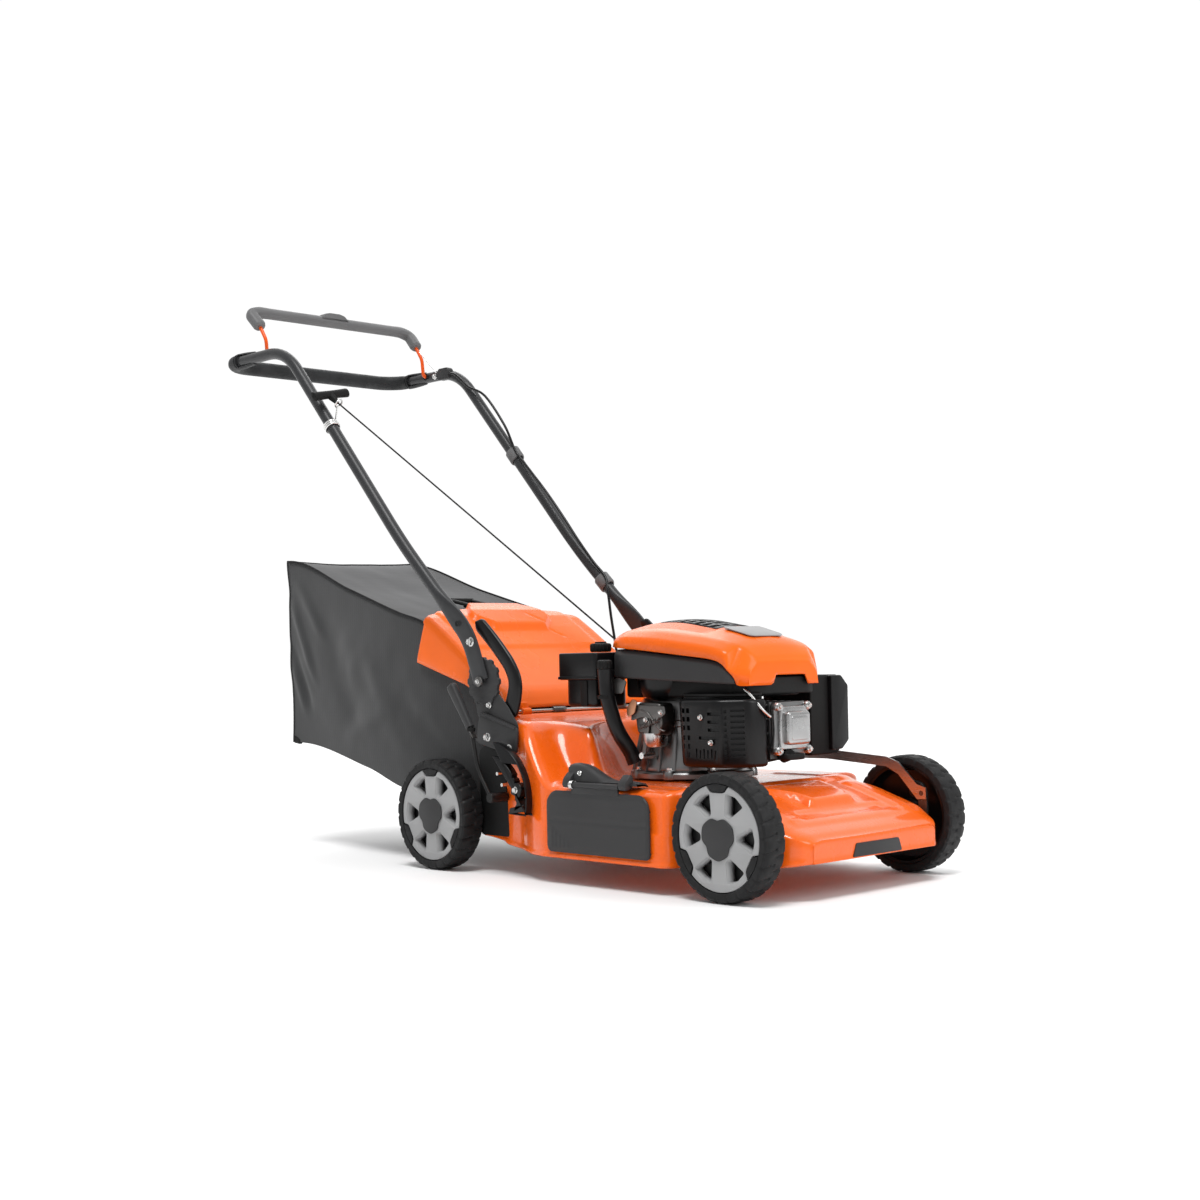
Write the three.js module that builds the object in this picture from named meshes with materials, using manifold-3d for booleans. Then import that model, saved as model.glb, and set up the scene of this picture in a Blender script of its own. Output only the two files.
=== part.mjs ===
// A walk-behind rotary lawn mower with a rear grass bag, as separate named pieces, in millimetres.
// Design frame: +X forward, +Y to the operator's left, +Z up, ground at z = 0, and x = 0 midway between
// the axles. The whole machine is moved along X at the end, so that its box is centred on the origin.
import * as THREE from "three";
import { mergeVertices } from "three/addons/utils/BufferGeometryUtils.js";
import Module from "manifold-3d";

const wasm = await Module();
wasm.setup();

// ---------- driving dimensions ----------
const GAP = 0.3; // clearance between touching pieces
const WHEEL_R = 95;
const WHEELBASE = 670;
const TRACK_OUT = 245; // outer face of the wheels
const TYRE_W = 45;
const RIM_R = 80;
const WHEEL_SEGMENTS = 24;
const CRANK = { x: 45, z: 15 }; // spindle is this far behind and above the axle's own pivot
const AXLE_R = 7;
const SPINDLE_R = 6;
const ARM_T = 4; // crank arm plate
const HORN_H = 51; // link pin above the axle pivot
const SHELL = 3; // steel deck wall, drawn a little thick
const SKIRT_W = 235; // half width of the cutting deck
const SKIRT_Z = 42;
const DECK_TOP = 158;
const TUNNEL_W = 190; // half width of nose and rear tunnel
const TUNNEL_END = -250;
const LEDGE_Y = 187; // the link runs past the deck outside this, above the left ledge
const FRONT_X = 434;
const INSERT_T = 2.7;
const SHAFT_X = 40; // engine shaft and blade centre
const BLADE_R = 222;
const BLADE_Z = 56;
const HANDLE_Y = 215; // centre plane of each handle arm
const TUBE_R = 11;
const GRIP_R = 15;
const PIVOT = { x: -225, z: 323 }; // handle fold
const CROSSBAR_X = -1018;
const CROSSBAR_Z = 971;
const FLAP_HINGE = { x: -187, z: 270.5 };
const BAG_W = 182;

// ---------- materials ----------
const paint = new THREE.MeshStandardMaterial({ color: 0xf4641e, roughness: 0.25, metalness: 0.1 });
const orangePlastic = new THREE.MeshStandardMaterial({ color: 0xf56a22, roughness: 0.4, metalness: 0 });
const greyPlastic = new THREE.MeshStandardMaterial({ color: 0x505152, roughness: 0.6, metalness: 0 });
const blackPlastic = new THREE.MeshStandardMaterial({ color: 0x1c1d1e, roughness: 0.5, metalness: 0 });
const rubber = new THREE.MeshStandardMaterial({ color: 0x2b2c2d, roughness: 0.85, metalness: 0 });
const rimSilver = new THREE.MeshStandardMaterial({ color: 0xb9babb, roughness: 0.45, metalness: 0.2 });
const steel = new THREE.MeshStandardMaterial({ color: 0x9a9a9c, roughness: 0.35, metalness: 0.9 });
const castAluminium = new THREE.MeshStandardMaterial({ color: 0xa8a9aa, roughness: 0.5, metalness: 0.7 });
const handleGrey = new THREE.MeshStandardMaterial({ color: 0x47484a, roughness: 0.45, metalness: 0.4 });
const fabric = new THREE.MeshStandardMaterial({ color: 0x4a4b4c, roughness: 0.95, metalness: 0 });

// ---------- solids ----------
function toSolid(geometry) {
  const bare = geometry.index ? geometry.toNonIndexed() : geometry.clone();
  for (const name of Object.keys(bare.attributes)) if (name !== "position") bare.deleteAttribute(name);
  const merged = mergeVertices(bare, 1e-3);
  const mesh = new wasm.Mesh({
    numProp: 3,
    vertProperties: new Float32Array(merged.attributes.position.array),
    triVerts: new Uint32Array(merged.index.array),
  });
  return new wasm.Manifold(mesh);
}

function toGeometry(solid) {
  const mesh = solid.getMesh();
  const geometry = new THREE.BufferGeometry();
  geometry.setAttribute("position", new THREE.BufferAttribute(new Float32Array(mesh.vertProperties), 3));
  geometry.setIndex(new THREE.BufferAttribute(new Uint32Array(mesh.triVerts), 1));
  const flat = geometry.toNonIndexed();
  flat.computeVertexNormals();
  return flat;
}

function join(...solids) {
  return solids.reduce((all, next) => all.add(next));
}

// A box between two corners.
function box(low, high) {
  const size = high.map((v, i) => v - low[i]);
  const g = new THREE.BoxGeometry(...size);
  g.translate(...low.map((v, i) => v + size[i] / 2));
  return toSolid(g);
}

// A round bar along an axis ("x", "y" or "z") between two values of it, centred on the other two.
function bar(axis, from, to, centre, radius, sides = 16, endRadius = radius) {
  const g = new THREE.CylinderGeometry(endRadius, radius, Math.abs(to - from), sides);
  if (axis === "x") g.rotateZ(-Math.PI / 2);
  if (axis === "z") g.rotateX(Math.PI / 2);
  const mid = (from + to) / 2;
  if (axis === "x") g.translate(mid, centre[0], centre[1]);
  if (axis === "y") g.translate(centre[0], mid, centre[1]);
  if (axis === "z") g.translate(centre[0], centre[1], mid);
  return toSolid(g);
}

// A plate with an outline in the XZ plane, between two values of y.
function plateXZ(points, yLow, yHigh) {
  const shape = new THREE.Shape(points.map(([x, z]) => new THREE.Vector2(x, z)));
  return extrudedXZ(shape, yLow, yHigh);
}

function extrudedXZ(shape, yLow, yHigh, curveSegments = 4) {
  const g = new THREE.ExtrudeGeometry(shape, { depth: yHigh - yLow, bevelEnabled: false, curveSegments });
  g.rotateX(Math.PI / 2);
  g.translate(0, yHigh, 0);
  return toSolid(g);
}

// A plate with an outline in the XY plane, between two heights.
function plateXY(points, zLow, zHigh) {
  const shape = new THREE.Shape(points.map(([x, y]) => new THREE.Vector2(x, y)));
  const g = new THREE.ExtrudeGeometry(shape, { depth: zHigh - zLow, bevelEnabled: false });
  g.translate(0, 0, zLow);
  return toSolid(g);
}

// A closed skin through rings of [y, z] points at rising x.
function loftX(stations) {
  const count = stations[0].ring.length;
  const positions = [];
  stations.forEach(({ x, ring }) => ring.forEach(([y, z]) => positions.push(x, y, z)));
  const index = [];
  for (let s = 0; s < stations.length - 1; s++)
    for (let i = 0; i < count; i++) {
      const a = s * count + i;
      const b = s * count + ((i + 1) % count);
      index.push(a, b, a + count, b, b + count, a + count);
    }
  const contour = stations[0].ring.map(([y, z]) => new THREE.Vector2(y, z));
  const lastContour = stations.at(-1).ring.map(([y, z]) => new THREE.Vector2(y, z));
  const last = (stations.length - 1) * count;
  for (const [a, b, c] of THREE.ShapeUtils.triangulateShape(contour, [])) index.push(a, c, b);
  for (const [a, b, c] of THREE.ShapeUtils.triangulateShape(lastContour, []))
    index.push(last + a, last + b, last + c);
  const g = new THREE.BufferGeometry();
  g.setAttribute("position", new THREE.BufferAttribute(new Float32Array(positions), 3));
  g.setIndex(index);
  const solid = toSolid(g);
  return solid;
}

// Round tube along points, with an optional bore. Corners are rounded by a fillet radius.
function routeOf(points, fillet) {
  const path = new THREE.CurvePath();
  let from = points[0];
  for (let i = 1; i < points.length - 1; i++) {
    const corner = points[i];
    const back = from.clone().sub(corner);
    const ahead = points[i + 1].clone().sub(corner);
    const r = Math.min(fillet, back.length() * 0.9, ahead.length() * 0.45);
    const start = corner.clone().add(back.setLength(r));
    const end = corner.clone().add(ahead.setLength(r));
    path.add(new THREE.LineCurve3(from, start));
    path.add(new THREE.QuadraticBezierCurve3(start, corner, end));
    from = end;
  }
  path.add(new THREE.LineCurve3(from, points.at(-1)));
  return path;
}

function pipe(points, { radius, fillet = 20, steps = 24, sides = 10, bore = 0 }) {
  const vectors = points.map((p) => new THREE.Vector3(...p));
  const curve = vectors.length > 2 ? routeOf(vectors, fillet) : new THREE.LineCurve3(...vectors);
  return pipeAlong(curve, { radius, steps, sides, bore });
}

function pipeAlong(curve, { radius, steps, sides, bore = 0 }) {
  const ring = (r) =>
    Array.from({ length: sides }, (_, i) => {
      const a = (2 * Math.PI * i) / sides;
      return new THREE.Vector2(r * Math.cos(a), r * Math.sin(a));
    });
  const shape = new THREE.Shape(ring(radius));
  if (bore) shape.holes.push(new THREE.Path(ring(bore).reverse()));
  return toSolid(new THREE.ExtrudeGeometry(shape, { steps, extrudePath: curve, bevelEnabled: false }));
}

// A closed profile of [radius, width] points turned about the Y axis and moved to a wheel's centre.
// The facets lie at the given radii, and one of them faces straight down.
function turned(profile, x, z, segments) {
  const facet = 1 / Math.cos(Math.PI / segments);
  const points = profile.map(([r, w]) => new THREE.Vector2(r * facet, w));
  points.push(points[0].clone());
  const g = new THREE.LatheGeometry(points, segments);
  g.rotateY(Math.PI / segments);
  g.translate(x, 0, z);
  return toSolid(g);
}

// Mirror in the XZ plane: pieces are drawn for the left side, +Y.
function toSide(solid, side) {
  return side > 0 ? solid : solid.mirror([0, 1, 0]);
}

function capsule(a, b, radius, yLow, yHigh) {
  const length = Math.hypot(b.x - a.x, b.z - a.z);
  const turn = Math.atan2(b.z - a.z, b.x - a.x);
  const shape = new THREE.Shape();
  shape.absarc(0, 0, radius, Math.PI / 2, 1.5 * Math.PI, false);
  shape.absarc(length, 0, radius, -Math.PI / 2, Math.PI / 2, false);
  return extrudedXZ(shape, yLow, yHigh).rotate([0, (-turn * 180) / Math.PI, 0]).translate([a.x, 0, a.z]);
}

// ---------- the machine ----------
const mower = new THREE.Group();

function add(name, solid, material) {
  const mesh = new THREE.Mesh(toGeometry(solid), material);
  mesh.name = name;
  mower.add(mesh);
}

const SIDES = { left: 1, right: -1 };
const AXLES = {
  front: { spindle: WHEELBASE / 2, pivot: WHEELBASE / 2 + CRANK.x },
  rear: { spindle: -WHEELBASE / 2, pivot: -WHEELBASE / 2 + CRANK.x },
};
const PIVOT_Z = WHEEL_R - CRANK.z;
const INNER_FACE = TRACK_OUT - TYRE_W;

// Wheels: tyre, six-spoked rim and centre cap.
function windowPrism(angle, x, z) {
  const corner = (r, a) => [x + r * Math.cos(a), z + r * Math.sin(a)];
  const outline = [corner(38, angle), corner(66, angle - 0.3), corner(66, angle + 0.3)];
  return plateXZ(outline, INNER_FACE - 5, TRACK_OUT + 5);
}

function makeWheel(end, sideName) {
  const side = SIDES[sideName];
  const x = AXLES[end].spindle;
  const label = `${end}_${sideName}`;
  const tyre = turned(
    [[RIM_R, INNER_FACE + 2], [90, INNER_FACE], [WHEEL_R, INNER_FACE + 6], [WHEEL_R, TRACK_OUT - 8],
      [91, TRACK_OUT - 1], [RIM_R, TRACK_OUT]],
    x, WHEEL_R, WHEEL_SEGMENTS,
  );
  const edge = RIM_R - GAP;
  let rim = turned(
    [[6.3, INNER_FACE + 1], [18, INNER_FACE + 1], [20, 228], [70, 231], [73, INNER_FACE + 4],
      [edge, INNER_FACE + 4], [edge, TRACK_OUT - 2], [72, TRACK_OUT - 3], [30, 238], [6.3, 238]],
    x, WHEEL_R, WHEEL_SEGMENTS,
  );
  for (let i = 0; i < 6; i++) rim = rim.subtract(windowPrism(i * (Math.PI / 3), x, WHEEL_R));
  const cap = bar("y", 238 + GAP, TRACK_OUT - 1, [x, WHEEL_R], 27, 12, 24);
  add(`tyre_${label}`, toSide(tyre, side), rubber);
  add(`rim_${label}`, toSide(rim, side), rimSilver);
  add(`wheel_cap_${label}`, toSide(cap, side), greyPlastic);
}

for (const end of Object.keys(AXLES)) for (const sideName of Object.keys(SIDES)) makeWheel(end, sideName);

// Cranked axles: a bar across the deck, an arm at each end and a spindle for each wheel.
const ARM_IN = 194.5;
function makeAxle(end) {
  const { spindle, pivot } = AXLES[end];
  let axle = bar("y", -ARM_IN - 1, ARM_IN + 1, [pivot, PIVOT_Z], AXLE_R, 14);
  for (const side of Object.values(SIDES)) {
    const arm = capsule({ x: pivot, z: PIVOT_Z }, { x: spindle, z: WHEEL_R }, 11, ARM_IN, ARM_IN + ARM_T);
    const pin = bar("y", ARM_IN + 1, 237, [spindle, WHEEL_R], SPINDLE_R, 14);
    axle = join(axle, toSide(arm, side), toSide(pin, side));
  }
  const hornTop = { x: pivot, z: PIVOT_Z + HORN_H };
  const horn = capsule({ x: pivot, z: PIVOT_Z }, hornTop, 8, ARM_IN, ARM_IN + ARM_T);
  const hornPin = bar("y", 191.2, ARM_IN + 1, [pivot, PIVOT_Z + HORN_H], 4, 12);
  add(`${end}_axle`, join(axle, horn, hornPin), steel);
}
makeAxle("front");
makeAxle("rear");

// Flat steel link that ties the two axles together along the left side.
function linkStation(x, z, height) {
  const ring = [[191, z - height / 2], [194, z - height / 2], [194, z + height / 2], [191, z + height / 2]];
  return { x, ring };
}
const PIN_Z = PIVOT_Z + HORN_H;
const frontPinX = AXLES.front.pivot;
const rearPinX = AXLES.rear.pivot;
const linkBody = loftX([
  linkStation(rearPinX - 9, PIN_Z, 18),
  linkStation(rearPinX + 6, PIN_Z + 2, 22),
  linkStation(rearPinX + 42, 172, 22),
  linkStation(-205, 186, 16),
  linkStation(190, 189, 16),
  linkStation(312, 180, 16),
  linkStation(336, 170, 20),
  linkStation(frontPinX - 8, PIN_Z + 2, 24),
  linkStation(frontPinX + 9, PIN_Z, 18),
]);
const linkHoles = join(
  bar("y", 185, 200, [rearPinX, PIN_Z], 4.3, 12),
  bar("y", 185, 200, [frontPinX, PIN_Z], 4.3, 12),
);
add("height_link", linkBody.subtract(linkHoles), steel);

// Cutting deck: a pressed shell, open below and at the rear, with a rear hump and a narrow nose.
// Each station gives x, half width, right shoulder height, right top half width, top height, left top half
// width, left ledge height and bottom edge.
const deckStations = [
  [TUNNEL_END, 190, 236, 172, 256, 172, 236, 60],
  [-205, 190, 240, 174, 261, 174, 238, 55],
  [-178, 200, 240, 178, 261, 174, 238, 50],
  [-140, 204.5, 225, 182, 246, 174, 222, 46],
  [-110, 219, 196, 190, 214, 176, 196, 43],
  [-80, 230, 168, 198, 182, 178, 172, SKIRT_Z],
  [-45, 235, 148, 205, DECK_TOP, 180, 153.5, SKIRT_Z],
  [246, 235, 142, 200, DECK_TOP, 180, 153.5, SKIRT_Z],
  [252, 190, 142, 168, DECK_TOP, 168, 150, SKIRT_Z],
  [300, 190, 130, 152, 154, 152, 142, 44],
  [350, 190, 116, 148, 138, 148, 127, 47],
  [395, 189, 104, 150, 118, 150, 111, 50],
  [422, 183, 94, 160, 100, 160, 97, 53],
  [FRONT_X, 166, 86, 152, 91, 152, 88, 55],
];

function deckRing([, w, shoulder, top, h, topLeft, ledge, bottom], wall, drop) {
  const edge = w - wall;
  const high = h - wall;
  const step = Math.min(LEDGE_Y, w - 1);
  const inner = topLeft < 171 ? (topLeft + w) / 2 : Math.min(LEDGE_Y, w - 3);
  const shelf = Math.min(148, shoulder);
  return [
    [-edge, bottom - drop],
    [edge, bottom - drop],
    [edge, shelf - wall * 0.8],
    [step - wall, Math.min(shelf + 4, ledge - 1) - wall],
    [inner - wall, ledge - wall],
    [topLeft - wall * 0.5, high],
    [-top + wall * 0.5, high],
    [-edge, shoulder - wall * 0.6],
  ];
}

function deckSkin(wall, drop, startX, endX) {
  const stations = deckStations.map((s) => ({ x: s[0], ring: deckRing(s, wall, drop) }));
  stations[0].x = startX;
  stations.at(-1).x = endX;
  let skin = loftX(stations);
  for (const side of Object.values(SIDES)) {
    const archCentre = [AXLES.front.spindle, WHEEL_R];
    const arch = bar("y", INNER_FACE - 4 - wall, SKIRT_W + 10, archCentre, 108 + wall, 28);
    skin = skin.subtract(toSide(arch, side));
  }
  return skin;
}

function makeDeck() {
  let deck = deckSkin(0, 0, TUNNEL_END, FRONT_X);
  deck = deck.subtract(deckSkin(SHELL, 30, TUNNEL_END - 10, FRONT_X - SHELL));
  for (const side of Object.values(SIDES)) {
    const outline = [[-238, 62], [-302, 62], [-302, 98], [-275, 104], [-238, 104]];
    const ear = plateXZ(outline, TUNNEL_W - SHELL, TUNNEL_W);
    const lug = plateXZ([[-195, 246], [-179, 246], [-179, 272], [-187, 276], [-193, 273]], 180, 184);
    deck = join(deck, toSide(ear, side), toSide(lug, side));
  }
  const cuts = [
    bar("y", -250, 250, [AXLES.rear.pivot, PIVOT_Z], AXLE_R + GAP, 14),
    bar("y", -195, 195, [AXLES.front.pivot, PIVOT_Z], AXLE_R + GAP, 14),
    bar("y", -190, 190, [FLAP_HINGE.x, FLAP_HINGE.z], 3 + GAP, 12),
    bar("z", 140, 170, [SHAFT_X, 0], 18, 20),
    box([-20, -250, 62], [178, -225, 132]),
  ];
  for (const cut of cuts) deck = deck.subtract(cut);
  add("deck_shell", deck, paint);
}
makeDeck();

const insertOutline = [[-58, 57], [60, 57], [52, 77], [-50, 77]];
const insertShape = new THREE.Shape(insertOutline.map(([y, z]) => new THREE.Vector2(y, z)));
const insert = new THREE.ExtrudeGeometry(insertShape, { depth: INSERT_T, bevelEnabled: false });
insert.rotateX(Math.PI / 2);
insert.rotateZ(Math.PI / 2);
insert.translate(FRONT_X + GAP, 0, 0);
add("front_insert", toSolid(insert), greyPlastic);

// Side discharge cover, hung from a hinge block on the deck's right shoulder.
const COVER_HINGE = { y: -239, z: 160 };
const COVER_X = [-38, 194];
function makeSideCover() {
  const r = 22;
  const [x0, x1] = COVER_X;
  const shape = new THREE.Shape();
  shape.moveTo(x0 + 10, 52);
  shape.lineTo(x1 - 10, 52);
  shape.absarc(x1 - 10, 62, 10, -Math.PI / 2, 0, false);
  shape.lineTo(x1, 150 - r);
  shape.absarc(x1 - r, 150 - r, r, 0, Math.PI / 2, false);
  shape.lineTo(x0 + r, 150);
  shape.absarc(x0 + r, 150 - r, r, Math.PI / 2, Math.PI, false);
  shape.lineTo(x0, 62);
  shape.absarc(x0 + 10, 62, 10, Math.PI, 1.5 * Math.PI, false);
  const plate = extrudedXZ(shape, -241.5, -237, 4);
  const neck = box([20, -241.5, 148], [130, -237, COVER_HINGE.z]);
  const knuckle = bar("x", 20, 130, [COVER_HINGE.y, COVER_HINGE.z], 4.5, 12);
  const trunnion = bar("x", 12, 138, [COVER_HINGE.y, COVER_HINGE.z], 2.5, 10);
  add("side_discharge_cover", join(plate, neck, knuckle, trunnion), greyPlastic);
}
makeSideCover();

function makeCoverHinge() {
  const outline = [[4, 163], [146, 163], [162, 167], [150, 178], [70, 182], [26, 196], [10, 196]];
  const block = plateXZ(outline, -232, -206);
  const lugs = [[4, 19.5], [130.5, 146]].map(([a, b]) => box([a, -244, 154], [b, -226, 172]));
  const socket = bar("x", 0, 150, [COVER_HINGE.y, COVER_HINGE.z], 2.8, 10);
  add("side_cover_hinge", join(block, ...lugs).subtract(socket), greyPlastic);
}
makeCoverHinge();

// Rear flap: an orange hood over the discharge tunnel and the mouth of the bag, with a wing on each side.
function makeRearFlap() {
  const w = 191;
  const outer = plateXZ(
    [[-190, 277], [-203, 305], [-440, 462], [-462, 455], [-428, 352], [-300, 318], [-206, 277]], -w, w,
  );
  const inner = plateXZ(
    [[-193.5, 270], [-206.3, 303.2], [-441, 458.4], [-500, 440], [-470, 300], [-300, 270]], -w + 3, w - 3,
  );
  let flap = outer.subtract(inner);
  const lift = plateXZ([[-392, 425], [-440, 462], [-446, 476], [-412, 474], [-380, 431]], -46, 46);
  flap = join(flap, lift);
  for (const side of Object.values(SIDES)) {
    const knuckle = bar("y", 140, 158, [FLAP_HINGE.x, FLAP_HINGE.z], 6.2, 12);
    const web = plateXZ([[-194, 270], [-188, 270], [-190, 279], [-195, 282]], 140, 158);
    flap = join(flap, toSide(knuckle, side), toSide(web, side));
  }
  flap = flap.subtract(bar("y", -200, 200, [FLAP_HINGE.x, FLAP_HINGE.z], 3 + GAP, 12));
  add("rear_flap", flap, orangePlastic);
  add("rear_flap_rod", bar("y", -186, 186, [FLAP_HINGE.x, FLAP_HINGE.z], 3, 12), steel);
}
makeRearFlap();

// Grass bag: a hollow shell, open at the front, under the flap and between the rear wheels.
const bagStations = [
  [-258, 176, 122, 292],
  [-340, 180, 122, 345],
  [-430, BAG_W, 124, 424],
  [-480, 184, 128, 441],
  [-668, 168, 164, 495],
  [-893, 148, 206, 560],
];
function bagRing(w, low, high, wall) {
  const c = 22;
  const a = w - wall;
  return [
    [-a + c, low + wall], [a - c, low + wall], [a, low + c + wall],
    [a, high - wall - 10], [a - 10, high - wall],
    [-a + 10, high - wall], [-a, high - wall - 10], [-a, low + c + wall],
  ];
}
function bagSkin(wall, front, rear) {
  const stations = bagStations.map(([x, w, low, high]) => ({ x, ring: bagRing(w, low, high, wall) }));
  stations.reverse();
  stations[0].x = rear;
  stations.at(-1).x = front;
  return loftX(stations);
}
const bag = bagSkin(0, -258, -893).subtract(bagSkin(3, -248, -890));
add("grass_bag", bag, fabric);

// Height lever with its grip on the right side, and the quadrant it works against.
const LEVER_PIVOT = { x: -180, z: 130 };
function makeHeightLever() {
  const strip = capsule(LEVER_PIVOT, { x: -224, z: 236 }, 9, -238, -234);
  const stem = pipe([[-224, -236, 236], [-245, -236, 267]], { radius: 4, steps: 1, sides: 8 });
  const pin = bar("y", -236, -202, [LEVER_PIVOT.x, LEVER_PIVOT.z], 5, 12);
  add("height_lever", join(strip, stem, pin), steel);
  const grip = pipe([[-233, -236, 249], [-279, -236, 317]], { radius: 8.5, steps: 1, sides: 12 });
  add("height_lever_grip", grip.subtract(join(strip, stem)), greyPlastic);
}
makeHeightLever();

function makeQuadrant() {
  const shape = new THREE.Shape();
  shape.absarc(LEVER_PIVOT.x, LEVER_PIVOT.z, 93, -0.22, 1.28, false);
  shape.absarc(LEVER_PIVOT.x, LEVER_PIVOT.z, 77, 1.28, -0.22, true);
  const arc = extrudedXZ(shape, -240, -236.3, 8);
  const foot = plateXZ([[-128, 108], [-90, 110], [-91, 118], [-126, 114]], -240, -236.3);
  const tab = plateXZ([[-126, 140], [-104, 134], [-104, 152], [-120, 156]], -240, -236.3);
  const boss = bar("y", -237, -222.5, [-113, 145], 7, 12);
  add("height_quadrant", join(arc, foot, tab, boss), blackPlastic);
}
makeQuadrant();

// Handle brackets, their locking levers and the clamp knobs on the fold pivot.
const BRACKET_Y = [206, 212.5];
const LOCK_PIVOT = { x: -175, z: 270 };
const bracketOutline = [
  [-242, 262], [-244, 222], [-149, 199], [-141, 204], [-135, 243],
  [-166, 279], [-190, 300], [-225, 323], [-250, 300],
];
function makeBracket(sideName) {
  const side = SIDES[sideName];
  const plate = plateXZ(bracketOutline, ...BRACKET_Y);
  const head = bar("y", ...BRACKET_Y, [PIVOT.x, PIVOT.z], 40, 24);
  const feet = [[-209, 229], [-160, 212]].map((at) => bar("y", 192, 207, at, 7, 12));
  const deckSide = side > 0 ? feet : [];
  const stub = bar("y", 193.5, 207, [LOCK_PIVOT.x, LOCK_PIVOT.z], 4, 12);
  const hole = bar("y", 200, 220, [PIVOT.x, PIVOT.z], 4 + GAP, 12);
  const bracket = join(plate, head, stub, ...deckSide).subtract(hole);
  add(`handle_bracket_${sideName}`, toSide(bracket, side), greyPlastic);
}

const lockRoute = [
  [LOCK_PIVOT.x, LOCK_PIVOT.z], [-156, 288], [-151, 321], [-163, 348], [-208, 392], [-246, 424],
];
function makeLockLever(sideName) {
  const side = SIDES[sideName];
  const pieces = [];
  for (let i = 0; i < lockRoute.length - 1; i++) {
    const [a, b] = [lockRoute[i], lockRoute[i + 1]];
    pieces.push(capsule({ x: a[0], z: a[1] }, { x: b[0], z: b[1] }, 9.5, 195, 203.5));
  }
  const hole = bar("y", 190, 210, [LOCK_PIVOT.x, LOCK_PIVOT.z], 4 + GAP, 12);
  add(`lock_lever_${sideName}`, toSide(join(...pieces).subtract(hole), side), blackPlastic);
}

function makeKnob(sideName) {
  const side = SIDES[sideName];
  const head = bar("y", 219.5, 224.5, [PIVOT.x, PIVOT.z], 9, 18);
  const shank = bar("y", 202, 220, [PIVOT.x, PIVOT.z], 4, 12);
  add(`handle_knob_${sideName}`, toSide(join(head, shank), side), blackPlastic);
}

// Handle: two bent arms, a crossbar with rounded corners and a soft grip over it.
const ARM_END_X = -955;
const armRoute = [[-247, 392], [-438, 572], [-799, CROSSBAR_Z], [ARM_END_X, CROSSBAR_Z]];
function makeArm(sideName) {
  const side = SIDES[sideName];
  const points = armRoute.map(([x, z]) => [x, HANDLE_Y, z]);
  const tube = pipe(points, { radius: TUBE_R, fillet: 45, steps: 20, sides: 10 });
  const flat = capsule({ x: -256, z: 401 }, PIVOT, 17, 213, 219);
  const hole = bar("y", 200, 225, [PIVOT.x, PIVOT.z], 4 + GAP, 12);
  const bailHole = bar("y", 200, 213, [BAIL_PIVOT.x, BAIL_PIVOT.z], 6.8, 16);
  add(`handle_arm_${sideName}`, toSide(join(tube, flat).subtract(hole).subtract(bailHole), side), handleGrey);
}

const BAIL_PIVOT = { x: -893, z: CROSSBAR_Z };
for (const sideName of Object.keys(SIDES)) {
  makeBracket(sideName);
  makeLockLever(sideName);
  makeKnob(sideName);
  makeArm(sideName);
}

// A U-shaped route at the rear of the handle, with quarter-circle corners.
function crossbarCurve(startX) {
  const r = 52;
  const path = new THREE.CurvePath();
  const corner = (side) => {
    const centre = new THREE.Vector3(CROSSBAR_X + r, side * (HANDLE_Y - r), CROSSBAR_Z);
    const points = Array.from({ length: 7 }, (_, i) => {
      const a = ((side > 0 ? i : 6 - i) * Math.PI) / 12;
      return centre.clone().add(new THREE.Vector3(-r * Math.sin(a), side * r * Math.cos(a), 0));
    });
    return points;
  };
  const route = [
    new THREE.Vector3(startX, HANDLE_Y, CROSSBAR_Z), ...corner(1), ...corner(-1),
    new THREE.Vector3(startX, -HANDLE_Y, CROSSBAR_Z),
  ];
  for (let i = 0; i < route.length - 1; i++) path.add(new THREE.LineCurve3(route[i], route[i + 1]));
  return path;
}
const crossbar = pipeAlong(crossbarCurve(ARM_END_X - GAP), { radius: TUBE_R, steps: 22, sides: 12 });
add("handle_crossbar", crossbar, handleGrey);
const gripSkin = pipeAlong(crossbarCurve(-964), { radius: GRIP_R, steps: 22, sides: 12, bore: TUBE_R + 1.6 });
add("handle_grip", gripSkin, rubber);

// Bail: an orange wire hinged in both arms, inside a grey moulded bar.
const BAIL_Y = 196;
const bailSide = (side) => [
  [BAIL_PIVOT.x, side * 211, BAIL_PIVOT.z], [BAIL_PIVOT.x, side * BAIL_Y, BAIL_PIVOT.z],
  [-897, side * BAIL_Y, 1008], [-921, side * BAIL_Y, 1042], [-943, side * (BAIL_Y - 2), 1063],
  [-945, side * (BAIL_Y - 20), 1070],
];
const bailEnd = (side) => bailSide(side).slice(3);
const bailRoute = [...bailSide(1), ...bailSide(-1).reverse()];
const bailCoverRoute = [...bailEnd(1), ...bailEnd(-1).reverse()];
const bailWire = pipe(bailRoute, { radius: 3.6, fillet: 9, steps: 36, sides: 6 });
add("bail_wire", bailWire, orangePlastic);
const bailCover = pipe(bailCoverRoute, { radius: 11, fillet: 9, steps: 24, sides: 10 });
const bailBore = pipe(bailRoute, { radius: 4.8, fillet: 9, steps: 36, sides: 6 });
const bailTab = box([-957, -20, 1074], [-933, 22, 1088]);
add("bail_bar", join(bailCover, bailTab).subtract(bailBore), greyPlastic);

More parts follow.
